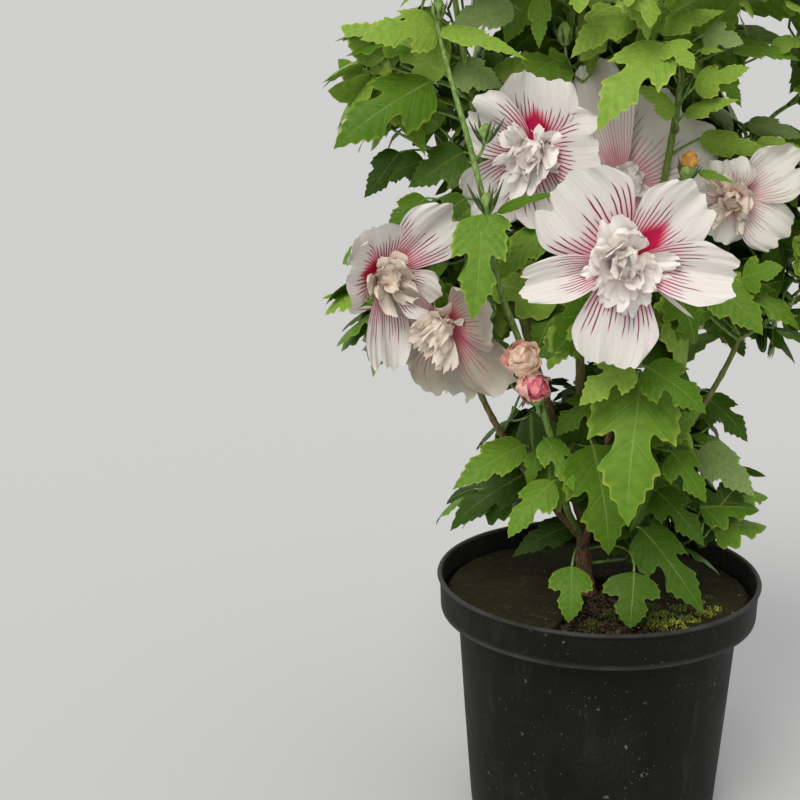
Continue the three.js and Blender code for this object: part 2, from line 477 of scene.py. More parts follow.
def make_limbs():
    """The trunk and the boughs, in one piece of bark."""
    heights = np.arange(FILL_HEIGHT - 2, TRUNK_TOP + 2, LIMB_STEP)
    rise = np.clip((heights - FILL_HEIGHT) / (TRUNK_TOP - FILL_HEIGHT), 0, 1)
    taper = TRUNK_RADII[0] + (TRUNK_RADII[1] - TRUNK_RADII[0]) * rise
    radii = taper * (1 + ROOT_FLARE * np.exp(-rise / ROOT_FLARE_SHARE))
    route = np.array([trunk_point(height) for height in heights])
    wood.append(route[BARE_TRUNK_STEPS:])
    trunk = limb_curve("bark_limbs", route, radii)
    bark_relief(trunk, TRUNK_RIDGES * MM)
    limbs = [trunk]
    for name, bough in BOUGHS.items():
        length = np.linalg.norm(np.subtract(bough.tip, trunk_point(bough.leaves)))
        route = bough_route(bough, int(length / LIMB_STEP))
        gone = np.linspace(0, 1, len(route))
        radii = bough.radius + (BOUGH_TIP_RADIUS - bough.radius) * gone
        radii = radii + COLLAR * np.exp(-gone * length / COLLAR_LENGTH)
        wood.append(route[int(len(route) * BARE_BOUGH_SHARE):])
        limb = limb_curve(name + "_bark", route, radii)
        bark_relief(limb, BOUGH_RIDGES * MM)
        limbs.append(limb)
    pick(trunk)
    for limb in limbs:
        limb.select_set(True)
    bpy.ops.object.join()
    trunk.data.materials.clear()
    trunk.data.materials.append(bark_finish())
    trunk.name = "bark_limbs"
    present(trunk, "bark", "trunk", *BOUGHS)


# Leaves: outlines of length one, up one side, as across, along and how much of a vein ends there

LOBED = [
    (0.12, 0.03, 0.0), (0.22, 0.07, 0.3), (0.29, 0.125, 0.7), (0.30, 0.17, 0.0), (0.34, 0.225, 0.8),
    (0.322, 0.275, 0.0), (0.35, 0.345, 0.9), (0.325, 0.38, 0.0), (0.33, 0.455, 1.0), (0.27, 0.425, 0.0),
    (0.22, 0.43, 0.4), (0.155, 0.395, 0.0), (0.13, 0.44, 0.0), (0.15, 0.525, 0.0), (0.20, 0.585, 0.5),
    (0.235, 0.65, 1.0), (0.19, 0.675, 0.0), (0.185, 0.745, 0.8), (0.135, 0.765, 0.0), (0.125, 0.835, 0.8),
    (0.08, 0.86, 0.0), (0.062, 0.92, 0.6), (0.028, 0.955, 0.0),
]
BROAD = [
    (0.13, 0.02, 0.0), (0.25, 0.06, 0.3), (0.32, 0.12, 0.7), (0.33, 0.17, 0.0), (0.375, 0.235, 0.8),
    (0.365, 0.285, 0.0), (0.395, 0.36, 0.9), (0.37, 0.40, 0.0), (0.375, 0.475, 1.0), (0.315, 0.47, 0.0),
    (0.28, 0.50, 0.5), (0.235, 0.50, 0.0), (0.24, 0.56, 0.0), (0.27, 0.64, 0.9), (0.225, 0.665, 0.0),
    (0.215, 0.74, 1.0), (0.16, 0.755, 0.0), (0.145, 0.825, 0.8), (0.10, 0.845, 0.0), (0.075, 0.91, 0.6),
    (0.035, 0.945, 0.0),
]
YOUNG = [
    (0.10, 0.03, 0.0), (0.21, 0.08, 0.3), (0.31, 0.15, 0.7), (0.335, 0.21, 0.0), (0.385, 0.285, 0.9),
    (0.37, 0.335, 0.0), (0.385, 0.42, 1.0), (0.32, 0.43, 0.0), (0.28, 0.475, 0.6), (0.205, 0.455, 0.0),
    (0.17, 0.48, 0.0), (0.185, 0.56, 0.0), (0.23, 0.64, 0.9), (0.20, 0.69, 0.0), (0.20, 0.76, 1.0),
    (0.15, 0.79, 0.0), (0.135, 0.86, 0.8), (0.09, 0.885, 0.0), (0.065, 0.94, 0.6), (0.03, 0.96, 0.0),
]
SLENDER = [(across * 0.5, along * 0.94 + 0.03, vein) for across, along, vein in BROAD]
SIMPLE = [
    (0.13, 0.02, 0.0), (0.27, 0.08, 0.4), (0.335, 0.19, 0.9), (0.305, 0.26, 0.0), (0.355, 0.37, 1.0),
    (0.335, 0.44, 0.7), (0.24, 0.455, 0.2), (0.165, 0.45, 0.0), (0.175, 0.54, 0.0), (0.235, 0.64, 1.0),
    (0.2, 0.71, 0.5), (0.145, 0.74, 0.0), (0.13, 0.83, 0.9), (0.075, 0.92, 0.5),
]
ROUND = [
    (0.13, 0.02, 0.0), (0.27, 0.09, 0.4), (0.37, 0.21, 0.9), (0.34, 0.27, 0.0), (0.41, 0.39, 1.0),
    (0.35, 0.44, 0.0), (0.345, 0.53, 0.8), (0.26, 0.55, 0.0), (0.265, 0.66, 1.0), (0.19, 0.69, 0.0),
    (0.165, 0.80, 0.9), (0.10, 0.83, 0.0), (0.07, 0.92, 0.7),
]
VEIN_SLANT = 0.9

# A flat leaf: its places, a wave that follows its veins, its faces, and what its finish reads
LeafCut = namedtuple("LeafCut", "across along row_wave faces marks")

# Leaf greens: the blade, and its paler margin. The tints differ partly as real leaves do and partly as
# painted light and shade, lighter where light falls and darker where shade falls; the sage tint is a
# painted sky sheen.
LEAF_TINTS = {
    "lime": ((0.235, 0.39, 0.05), (0.45, 0.54, 0.09)),
    "fresh": ((0.125, 0.25, 0.022), (0.31, 0.41, 0.045)),
    "mid": ((0.08, 0.178, 0.01), (0.21, 0.3, 0.026)),
    "deep": ((0.052, 0.12, 0.008), (0.12, 0.19, 0.016)),
    "shade": ((0.034, 0.08, 0.006), (0.065, 0.12, 0.011)),
    "sheen_sage": ((0.22, 0.32, 0.1), (0.3, 0.4, 0.1)),
}
TINT_NUMBERS = {tint: number for number, tint in enumerate(LEAF_TINTS)}

# The map has one tile for each leaf tint or petal, with a margin round what lies in the tile
TILE_COLUMNS = 3
TILE_ROWS = 2
TILE_MARGIN = (0.05, 0.04)

# How leaves bend and differ, in shares of their length
LEAF_CURL = (-0.05, 0.16)
LEAF_DROOP = (0.1, 0.9)
LEAF_SWAY = 0.2
EDGE_WAVE = 0.2
VEIN_WAVE = 0.0018
CURL_START = 0.45
NARROW_HALF = 0.93


def finer_rows(rows, times):
    """Rows of numbers with more rows between them, on a smooth curve through the ones given."""
    before = np.concatenate([2 * rows[:1] - rows[1:2], rows[:-1]])
    after = np.concatenate([rows[1:], 2 * rows[-1:] - rows[-2:-1]])
    made = []
    for i in range(len(rows) - 1):
        for share in np.arange(times) / times:
            rise, fall = share, 1 - share
            pull = (rows[i + 1] - before[i]) * rise * fall**2 / 2
            push = (after[i + 1] - rows[i]) * rise**2 * fall / 2
            bend = rise**2 * (3 - 2 * rise)
            made.append(rows[i] + (rows[i + 1] - rows[i]) * bend + pull - push)
    made.append(rows[-1])
    return np.array(made)


def leaf_cut(outline, times=1, columns=5):
    """A flat leaf of length one from its outline: a base, rows of places, and a tip."""
    across, along, vein = np.array(outline).T
    rib = np.maximum.accumulate(np.maximum(along - VEIN_SLANT * across, 0))
    rib = np.maximum(rib, 0.008 + 0.006 * np.arange(len(rib)))
    rib = rib + 0.004 * np.arange(len(rib)) / len(rib)
    if times > 1:
        across, along = finer_rows(np.stack([across, along], 1), times).T
        old = np.arange(len(rib))
        new = np.linspace(0, len(rib) - 1, len(across))
        rib, vein = np.interp(new, old, rib), np.interp(new, old, vein)
    sides = np.linspace(-1, 1, columns)
    x = np.outer(across, sides)
    x[:, : columns // 2] *= NARROW_HALF
    y = rib[:, None] + np.outer(along - rib, np.abs(sides))
    rows = len(across)
    hills = np.sin(math.pi * np.abs(sides) * 0.62)
    x = np.concatenate([[0], x.ravel(), [0]])
    y = np.concatenate([[0], y.ravel(), [1]])
    wave = np.concatenate([[0], np.outer(1 - 2 * vein, hills).ravel(), [0]])
    veins = np.concatenate([[0], np.repeat(vein, columns), [0]])
    middle = np.maximum(1 - np.abs(sides) * (columns - 1) / 2, 0)
    ribs = np.concatenate([[1], np.tile(middle, rows), [1]])
    edges = np.concatenate([[0.3], np.tile(np.abs(sides), rows), [1]])
    quads = grid_faces(rows, columns)[0] + 1
    step = np.arange(columns - 1)
    tip = rows * columns + 1
    last = tip - columns
    base_faces = np.stack([np.zeros_like(step), 2 + step, 1 + step], 1)
    tip_faces = np.stack([last + step, last + step + 1, np.full_like(step, tip)], 1)
    faces = [quads, np.concatenate([base_faces, tip_faces])]
    return LeafCut(x, y, wave, faces, np.stack([ribs, veins, edges], 1))


LEAF_CUTS = {
    "lobed": leaf_cut(LOBED, 3, 9),
    "broad": leaf_cut(BROAD, 3, 9),
    "young": leaf_cut(YOUNG, 3, 9),
    "slender": leaf_cut(SLENDER, 3, 7),
    "simple": leaf_cut(SIMPLE),
    "round": leaf_cut(ROUND),
}


def tile_places(number, across, along, rows=TILE_ROWS):
    """Where a leaf or petal of a number lies on the map: one tile for each number."""
    column, row = number % TILE_COLUMNS, number // TILE_COLUMNS
    u = (column + TILE_MARGIN[0] + (1 - 2 * TILE_MARGIN[0]) * across) / TILE_COLUMNS
    v = (row + TILE_MARGIN[1] + (1 - 2 * TILE_MARGIN[1]) * along) / rows
    return np.stack([u, v], 1)


def add_leaf(heap, foot, tip, face, width, shape, tint, arch, fold, twist):
    """One leaf from foot to tip, with its upper side towards face, arched, folded and twisted."""
    cut = LEAF_CUTS[shape]
    length = np.linalg.norm(tip - foot)
    along_way = (tip - foot) / length
    face = unit(face - along_way * (face @ along_way))
    across_way = np.cross(along_way, face)
    spread = width / (2 * np.max(np.abs(cut.across)))
    x = cut.across * spread
    out = np.abs(cut.across)
    phase = chance.uniform(0, 2 * math.pi)
    side = np.sign(cut.across)
    curl = chance.uniform(*LEAF_CURL)
    droop = chance.uniform(*LEAF_DROOP)
    lift = (
        arch * 4 * cut.along * (1 - cut.along) * length
        - curl * length * np.clip(cut.along - CURL_START, 0, 1) ** 2 * 2
        + fold * np.abs(x)
        - droop * x**2 / width
        + twist * cut.along * x
        + VEIN_WAVE * length * cut.row_wave
        + EDGE_WAVE * length * out**2 * np.sin(8 * cut.along + phase + 1.7 * side)
    )
    sway = chance.uniform(-LEAF_SWAY, LEAF_SWAY) * length * cut.along**2 * (1 - cut.along)
    places = (
        foot
        + np.outer(x + sway, across_way)
        + np.outer(cut.along * length, along_way)
        + np.outer(lift, face)
    )
    number = TINT_NUMBERS[tint]
    heap.add(places, cut.faces, number, cut.marks, tile_places(number, cut.across + 0.5, cut.along))


def leaf_finish(name, blade, margin):
    """A green blade with fine paler veins, a light margin and a soft gloss."""
    look = Finish("leaf_" + name, blade, 0.5, 0.12)
    _, rib, vein, edge = look.marks()
    pale = tuple(0.6 * part + 0.4 * other for part, other in zip(blade, (0.42, 0.52, 0.16)))
    dark = tuple(0.66 * part for part in blade)
    mottle = look.noise(look.node("UVMap", {}, uv_map="OFBake").outputs[0], 34, 5, 0.62)
    rib_line = look.step(rib, 0.76, 0.94, 0, 0.6)
    thin = look.plus(look.times(edge, 0.13), 0.82)
    vein_line = look.step(vein, thin, look.plus(thin, 0.06), 0, 0.3)
    lines = look.larger(rib_line, vein_line)
    body = look.mix(look.step(mottle, 0.36, 0.66, 0, 0.55), blade, dark)
    body = look.mix(look.step(vein, 0.0, 0.7, 0.1, 0), body, margin)
    rim = look.times(look.step(edge, 0.86, 1.0), look.step(mottle, 0.36, 0.6, 0.15, 0.9))
    body = look.mix(rim, body, margin)
    look.colour(look.mix(lines, body, pale))
    swell = look.minus(look.times(mottle, 0.6), look.step(vein, 0.75, 1))
    swell = look.minus(swell, look.step(rib, 0.75, 1))
    look.bump(swell, 0.0005, 0.45)
    look.roughness(look.step(mottle, 0.3, 0.75, 0.4, 0.56))
    return look.material


# Shoots and stalks: green wood that carries leaves, buds and blooms

stalks = Heap()
leaf_heaps = {"low": Heap(), "mid": Heap(), "upper": Heap(), "top": Heap()}
front_leaves = Heap()
STALK_STEP = 9
STALK_BOW = 0.5
STALK_SAG = 0.06


def add_stalk(route, first, last, sides=6):
    """A stalk along a route that tapers from its first radius to its last."""
    stalks.add(*tube(route, np.linspace(first, last, len(route)), sides))


def stalk_to(place, way, first, last, sides=5):
    """A stalk from the nearest wood that arrives at a place along a way."""
    start = nearest_wood(place)
    gap = np.linalg.norm(place - start)
    bend = place - unit(way) * gap * STALK_BOW - UP * gap * STALK_SAG
    route = bezier(start, bend, place, max(4, int(gap / STALK_STEP)))
    add_stalk(route, first, last, sides)
    return route


def stalk_finish():
    """Smooth green skin with short pale streaks along it."""
    dark, light = (0.1, 0.19, 0.03), (0.25, 0.37, 0.09)
    look = Finish("stalk_green", light, 0.5, 0.4)
    streaks = look.noise(look.here((1, 1, 0.3)), 700, 2)
    look.colour(look.mix(look.step(streaks, 0.35, 0.7), dark, light))
    look.bump(streaks, 0.0002, 0.5)
    return look.material


# Blooms: petals with their own numbers across and along, which the finish reads

petals = Heap()
rosettes = Heap()

# A petal: where it points round the bloom in degrees, its size in millimetres, how it bends in
# radians, how far its edge waves, and the place and depth of its notch
Petal = namedtuple("Petal", "turn length width lift curl fold roll ruffle notch")
PETAL_COLUMNS, PETAL_ROWS = 35, 21
ROSETTE_COLUMNS, ROSETTE_ROWS = 15, 11
HEART_TILES = {False: 5, True: 4}
PETAL_TILE_ROWS = 3
# Petal looks: plain; shy, with faint veins and paler, a painted light on blooms that stand in shade;
# faded, beige and darker, partly age and partly a painted shade
PLAIN, SHY_LIT, FADED_SHADED = range(3)
ALIKE_TILES = {SHY_LIT: 6, FADED_SHADED: 5}
BLOT_GAP = math.radians(22)

# The columns of a petal's grid crowd towards its sides, as the sine does up to this angle.
# A petal starts this far from the bloom's middle, and stands this far before the last one.
SIDE_ANGLE = 1.32
PETAL_START = 3.0
PETAL_LAP = 0.5


def petal_sheet(petal, columns, rows, frill=1.0):
    """A petal as a grid: across, outwards and towards the eye, with its numbers."""
    u = np.sin(np.linspace(-SIDE_ANGLE, SIDE_ANGLE, columns))[None, :] / math.sin(SIDE_ANGLE)
    v = 1 - (1 - np.linspace(0, 1, rows)[:, None]) ** 1.25
    phase = chance.uniform(0, 2 * math.pi, 8)
    edge = (
        1
        - 0.30 * (1 - np.sqrt(1 - 0.985 * np.abs(u) ** 3))
        + 0.022 * frill * np.sin(5.3 * u + phase[0])
        + 0.018 * frill * np.sin(11 * u + phase[1])
        + 0.016 * frill * np.sin(23 * u + phase[2]) * np.sin(4 * u + phase[3])
        - petal.notch[1] * np.exp(-(((u - petal.notch[0]) / 0.11) ** 2))
    )
    reach = v * (1 + (edge - 1) * v**1.3)
    fine = np.linspace(0, 1.2, 61)
    lean = petal.lift - petal.curl * fine**1.6
    outwards = np.concatenate([[0], np.cumsum(np.cos(lean))[:-1]]) * (fine[1] - fine[0])
    towards = np.concatenate([[0], np.cumsum(np.sin(lean))[:-1]]) * (fine[1] - fine[0])
    y = petal.length * np.interp(reach, fine, outwards)
    z = petal.length * np.interp(reach, fine, towards)
    swell = np.sin(math.pi / 2 * np.clip(v / 0.8, 0, 1)) ** 0.85
    half = petal.width / 2 * (0.13 + 0.87 * swell) * (1 - 0.1 * np.clip((v - 0.8) / 0.2, 0, 1) ** 2)
    x = u * half * (1 + 0.02 * np.sin(9 * v + phase[3]))
    ripple = petal.ruffle * v**2.1 * (
        np.sin(3.6 * u + phase[4]) + 0.55 * np.sin(7.2 * u + phase[5] + 1.5 * v)
    )
    crimp = frill * v**5 * (0.9 * np.sin(13 * u + phase[6]) + 0.6 * np.sin(24 * u + phase[7]))
    ribs = 0.2 * np.sin(26 * u + phase[3]) * np.clip(v * 2, 0, 1)
    z = z + ripple + crimp + ribs
    z = z + np.abs(x) * math.sin(petal.fold) + x * math.sin(petal.roll)
    x = x * math.cos(petal.fold) * math.cos(petal.roll)
    across = np.broadcast_to(u, x.shape)
    along = np.broadcast_to(v, x.shape)
    return np.stack([x, y, z], 2).reshape(-1, 3), across.ravel(), along.ravel()


def bloom_axes(facing):
    """A bloom's right, up and outward directions, for one that faces a way."""
    out = unit(facing)
    right = unit(np.cross(UP, out))
    return right, np.cross(out, right), out


def stand_petal(sheet, centre, axes, turn, start):
    """Places of a petal's grid that leaves a bloom's centre at a turn."""
    right, up, out = axes
    outwards = math.cos(turn) * right + math.sin(turn) * up
    sideways = math.sin(turn) * right - math.cos(turn) * up
    return (
        centre
        + np.outer(sheet[:, 0], sideways)
        + np.outer(sheet[:, 1] + start, outwards)
        + np.outer(sheet[:, 2], out)
    )


def add_petals(centre, axes, rows, shade):
    """The outer petals of a bloom, each lapping over the next. Those of one shade are veined alike."""
    faces = grid_faces(PETAL_ROWS, PETAL_COLUMNS)
    for number, petal in enumerate(rows):
        sheet, across, along = petal_sheet(petal, PETAL_COLUMNS, PETAL_ROWS)
        places = stand_petal(sheet, centre, axes, math.radians(petal.turn), PETAL_START)
        places = places + axes[2] * PETAL_LAP * number
        marks = np.stack([across, along, np.full(len(along), 0 if shade else number)], 1)
        tile_number = ALIKE_TILES.get(shade, number)
        tile = tile_places(tile_number, across / 2 + 0.5, along, PETAL_TILE_ROWS)
        petals.add(places, faces, shade, marks, tile)


def add_heart_petal(places, across, along, number, cream=False):
    """A narrow petal of a heart, with its numbers across and along and one of its own."""
    marks = np.stack([across, along, np.full(len(along), number)], 1)
    tile = tile_places(HEART_TILES[cream], across / 2 + 0.5, along)
    rosettes.add(places, grid_faces(ROSETTE_ROWS, ROSETTE_COLUMNS), int(cream), marks, tile)


def add_rosette(centre, axes, bloom, blot_turn):
    """The crowded heart of a double bloom: narrow petals that stand up, fold and curl."""
    _, up, out = axes
    size = bloom.size * bloom.spread
    for i in range(bloom.heart):
        share = math.sqrt((i + 0.5) / bloom.heart)
        turn = i * GOLDEN_ANGLE + chance.uniform(-0.5, 0.5)
        if share > 0.4 and math.cos(turn - blot_turn) > math.cos(BLOT_GAP):
            continue
        low = max(-math.sin(turn), 0)
        petal = Petal(
            0,
            size * chance.uniform(0.4, 0.6) * (1 + 0.2 * low * share),
            size * chance.uniform(0.36, 0.64),
            math.radians(94 - 56 * share**1.4 + chance.uniform(-12, 12)),
            chance.uniform(-1.0, 0.9) + 0.3 * share,
            chance.uniform(-0.7, 0.7),
            chance.uniform(-0.7, 0.7),
            chance.uniform(1.0, 2.6),
            (chance.uniform(-0.6, 0.6), chance.uniform(0.0, 0.25)),
        )
        sheet, across, along = petal_sheet(petal, ROSETTE_COLUMNS, ROSETTE_ROWS, 1.1)
        creases = np.sin(4.3 * across + 5 * along + i) * np.sin(6.1 * along - 3.7 * across + 2 * i)
        sheet[:, 2] += 0.75 * along * creases
        foot = centre + out * (2 + 3 * (1 - share))
        places = stand_petal(sheet, foot, axes, turn, 6.0 * share)
        hang = np.clip((places - centre) @ out, 0, None) * bloom.droop
        places = places - np.outer(hang, up)
        add_heart_petal(places, across, along, chance.uniform(0, 1), bloom.cream)


HEART_CORE_RADIUS = 0.2
HEART_CORE_LENGTH = 0.42


def add_heart_core(centre, axes, size, cream):
    """The crumpled middle of a bloom's heart, so that its folds are never hollow."""

    def radius_at(share, turn):
        creases = 1 + 0.2 * np.sin(5 * turn + 6 * share) + 0.12 * np.sin(9 * turn - 11 * share)
        swelling = np.sin(math.pi * np.clip(0.15 + 0.8 * share, 0, 1)) ** 0.5
        return size * HEART_CORE_RADIUS * swelling * creases

    length = size * HEART_CORE_LENGTH
    body, faces = round_body(axes[2], centre + axes[2], length, radius_at, 24, 12)
    marks = np.tile([0.3, 0.7, 0.5], (len(body), 1))
    tile = tile_places(HEART_TILES[cream], np.full(len(body), 0.65), np.linspace(0.6, 0.9, len(body)))
    rosettes.add(body, faces, int(cream), marks, tile)


# Petals that stand out of the front bloom's heart: turn, length, width, lift, curl, fold, roll,
# with turn and lift in degrees
FRONT_HEART = [
    (108, 27, 24, 30, 0.3, 0.2, 0.1), (68, 28, 11, 50, -0.2, 0.5, 0.3),
    (6, 28, 14, 30, 0.4, 0.45, -0.2), (-14, 27, 12, 24, 0.4, 0.6, 0.3),
    (196, 24, 14, 30, 0.5, 0.4, 0.2), (-70, 24, 19, 40, 0.9, 0.3, 0.1),
    (-104, 22, 18, 46, 1.0, -0.2, 0.2), (-50, 22, 16, 46, 0.8, 0.3, -0.3),
    (160, 22, 15, 48, 0.3, 0.3, 0.2), (-84, 28, 13, 30, 0.8, 0.4, 0.0),
    (222, 22, 13, 40, 0.6, 0.4, 0.3),
]


def add_front_heart(centre, axes):
    """The petals that make the front bloom's heart its own."""
    for i, (turn, length, width, lift, curl, fold, roll) in enumerate(FRONT_HEART):
        notch = (chance.uniform(-0.3, 0.3), chance.uniform(0.05, 0.22))
        petal = Petal(0, length, width, math.radians(lift), curl, fold, roll, 1.6, notch)
        sheet, across, along = petal_sheet(petal, ROSETTE_COLUMNS, ROSETTE_ROWS, 1.3)
        sheet[:, 2] += 0.9 * along * np.sin(4.3 * across + 5 * along + i)
        places = stand_petal(sheet, centre + axes[2], axes, math.radians(turn), 4.5)
        hang = np.clip((places - centre) @ axes[2], 0, None) * 0.08
        places = places - np.outer(hang, axes[1])
        add_heart_petal(places, across, along, chance.uniform(0.4, 1))


ROLLED_PETAL = Petal(-38, 46, 4, math.radians(20), 0.2, 0.8, 0.3, 0.6, (0.0, 0.0))


def add_rolled_petal(bloom):
    """The narrow rolled petal that sticks out of the front bloom's heart, at its lower right."""
    axes = bloom_axes(bloom.facing)
    sheet, across, along = petal_sheet(ROLLED_PETAL, ROSETTE_COLUMNS, ROSETTE_ROWS)
    places = stand_petal(sheet, bloom.centre + axes[2], axes, math.radians(ROLLED_PETAL.turn), 4.5)
    add_heart_petal(places, across, along, 1)


# Colours of the markings, and how many veins each half of a petal has room for
BLOT_CRIMSON = (0.56, 0.006, 0.075)
VEIN_CRIMSON = (0.5, 0.008, 0.085)
VEIN_PURPLE = (0.24, 0.01, 0.065)
HALO_PINK = (0.82, 0.36, 0.47)
RIM_WHITE = (0.74, 0.75, 0.63)
HEART_CRIMSON = (0.68, 0.06, 0.2)
VEIN_LANES = 8.2


def petal_finish(name, light, dark, strength):
    """Satin white with thin crimson veins that fan out of a crimson blot with a pink halo."""
    look = Finish(name, light, 0.55, 0.25)
    carried, across, along, number = look.marks()
    wobble = look.noise(look.stretched(carried, (1.1, 1.5, 5.3)), 1.6, 2)
    lane = look.plus(look.times(across, VEIN_LANES), look.times(wobble, 1.1))
    middle = look.arithmetic("ROUND", lane)
    off = look.arithmetic("ABSOLUTE", look.minus(lane, middle))
    seed = look.plus(middle, look.times(number, 31.7))
    luck = look.node("TexWhiteNoise", {"W": seed}, noise_dimensions="1D").outputs[0]
    reach = look.plus(look.times(luck, 0.3), 0.5)
    left = look.minus(1.0, look.arithmetic("DIVIDE", along, reach), clamp=True)
    breadth = look.plus(look.times(left, 0.25), 0.12)
    line = look.step(off, breadth, look.times(breadth, 0.5))
    line = look.times(line, look.step(left, 0.0, 0.16))
    second = look.step(look.arithmetic("ABSOLUTE", look.minus(number, 1.0)), 0.6, 0.2)
    bulge = look.times(look.arithmetic("ABSOLUTE", across), look.step(second, 0, 1, -0.16, -0.5))
    strong = look.step(second, 0, 1, 0.12, 0.4)
    blot_edge = look.plus(look.plus(bulge, strong), look.times(wobble, 0.12))
    blot_edge = look.plus(blot_edge, look.times(line, 0.1))
    blot = look.step(along, look.plus(blot_edge, 0.2), blot_edge)
    halo = look.step(along, 0.6, 0.2, 0, 0.58 * strength)
    fibres = look.noise(look.stretched(carried, (46, 1.5, 3)), 1, 2)
    white = look.mix(look.step(fibres, 0.35, 0.7), light, dark)
    white = look.mix(look.step(along, 0.75, 1.0, 0, 0.35), white, RIM_WHITE)
    pink = look.mix(halo, white, HALO_PINK)
    ink = look.mix(look.step(along, 0.2, 0.5), VEIN_CRIMSON, VEIN_PURPLE)
    veined = look.mix(look.times(line, strength), pink, ink)
    look.colour(look.mix(look.times(blot, strength), veined, BLOT_CRIMSON))
    look.bump(fibres, 0.0007, 0.5)
    return look.material


def heart_finish(name, light, dark):
    """Pale satin, touched with crimson and pink where the narrow petals start."""
    look = Finish(name, light, 0.55, 0.25)
    carried, _, along, number = look.marks()
    fibres = look.noise(look.stretched(carried, (16, 1.5, 9)), 1, 2)
    pale = look.mix(look.step(fibres, 0.35, 0.7), light, dark)
    stain = look.times(look.step(along, 0.5, 0.05), look.step(fibres, 0.3, 0.66, 0.3, 1))
    marked = look.step(number, 0.5, 0.8, 0.4, 1.0)
    look.colour(look.mix(look.times(stain, marked), pale, HEART_CRIMSON))
    look.bump(fibres, 0.0007, 0.5)
    return look.material


# Buds, calyces and bracts

greens = Heap()
CALYX, BUD_TIP, BRACT, CREAM, PINK, MAGENTA = range(6)
BRACTS = 7

# Shares of the size of a calyx or a bud
CALYX_RADIUS = 0.42
BUD_RADIUS = 0.33
BUD_TIP_RADIUS = 0.32
BUD_TIP_START = 0.66
BUD_TIP_LENGTH = 0.56
BRACT_RING = 0.12


def add_bract(start, way, length, width):
    """A thin pointed bract."""
    rise = np.linspace(0, 1, 6)
    route = start + np.outer(rise * length, unit(way)) + np.outer(rise**2 * length * 0.25, UP)
    radii = width / 2 * np.array([0.7, 1.0, 0.95, 0.75, 0.45, 0.1])
    greens.add(*tube(route, radii, 4), BRACT)


def bract_ways(axis):
    """The ways that a whorl of bracts leaves an axis, one after another."""
    side = unit(np.cross(axis, UP + 0.3 * FRONT))
    for i in range(BRACTS):
        yield turned(side, axis, i * 2 * math.pi / BRACTS + chance.uniform(-0.2, 0.2))


def add_calyx(end, axis, size):
    """The green cup behind a bloom or round a bud, and the bracts under it. Returns its foot."""
    foot = end - axis * size

    def radius_at(share, turn):
        swelling = np.sin(math.pi * (0.12 + 0.62 * share)) ** 0.9
        return size * CALYX_RADIUS * swelling * (1 + 0.1 * np.cos(5 * turn) * share)

    greens.add(*round_body(axis, foot, size, radius_at), CALYX)
    for way in bract_ways(axis):
        start = foot + axis * size * BRACT_RING + way * size * BRACT_RING
        heading = way * 0.75 + axis * chance.uniform(0.5, 1.3)
        add_bract(start, heading, size * chance.uniform(0.7, 1.0), 1.1)
    return foot


def add_bud(place, axis, size, tip_colour=True, bracts=0.7):
    """A closed bud on its stalk, with bracts of a share of its size, and its amber tip if it shows."""
    axis = unit(axis)

    def radius_at(share, turn):
        swelling = np.sin(math.pi * np.clip(0.08 + 0.9 * share, 0, 1)) ** 0.75
        return size * BUD_RADIUS * swelling * (1 + 0.07 * np.cos(5 * turn + 4 * share))

    greens.add(*round_body(axis, place, size, radius_at), CALYX)
    if tip_colour:

        def tip_radius(share, turn):
            folds = 1 + 0.13 * np.cos(5 * turn + 7 * share) + 0.06 * np.sin(9 * turn + 11 * share)
            return size * BUD_TIP_RADIUS * np.sqrt(np.clip(1 - share**2.6, 0.01, 1)) * folds

        tip_start = place + axis * size * BUD_TIP_START
        greens.add(*round_body(axis, tip_start, size * BUD_TIP_LENGTH, tip_radius), BUD_TIP)
    for way in bract_ways(axis):
        start = place + axis * size * 0.08 + way * size * BRACT_RING
        length = size * bracts * chance.uniform(0.8, 1.2)
        add_bract(start, way * 0.7 + axis * chance.uniform(0.7, 1.5), length, 0.17 * length)
    stalk_to(place + axis * 1.5, axis, 1.1, 1.0)


def plain_finish(name, dark, light, scale, roughness=0.6):
    """A matt skin of two shades."""
    look = Finish(name, light, roughness, 0.35)
    mottle = look.noise(look.here(), scale, 4, 0.6)
    look.colour(look.mix(look.step(mottle, 0.36, 0.66), dark, light))
    look.bump(mottle, 0.0004, 0.5)
    return look.material


# A bloom: its petals if they are given one by one, how many narrow ones crowd its heart, how far
# the heart droops, if its heart is a darker cream, a painted shade, which look its petals take, the shy
# one a painted light and the faded one partly a painted shade, and the heart's share of its size
Bloom = namedtuple(
    "Bloom", "centre facing size petals heart droop cream shade spread", defaults=[False, PLAIN, 0.36]
)


def wild_petals(size, first_turn):
    """Five petals of an ordinary bloom, none quite like the next."""
    rows = []
    for i in range(5):
        rows.append(Petal(
            first_turn + 72 * i + chance.uniform(-8, 8),
            size / 2 * chance.uniform(0.92, 1.06),
            size / 2 * chance.uniform(0.96, 1.2),
            math.radians(chance.uniform(10, 46)),
            math.radians(chance.uniform(-15, 60)),
            math.radians(chance.uniform(-8, 24)),
            math.radians(chance.uniform(4, 14)),
            chance.uniform(1.8, 4.2),
            (chance.uniform(-0.7, 0.7), chance.uniform(0.0, 0.1)),
        ))
    return rows


def petals_in_degrees(rows):
    """A bloom's petals, from rows that give their lift, curl, fold and roll in degrees."""
    made = []
    for turn, length, width, lift, curl, fold, roll, ruffle, notch in rows:
        bends = (math.radians(angle) for angle in (lift, curl, fold, roll))
        made.append(Petal(turn, length, width, *bends, ruffle, notch))
    return made


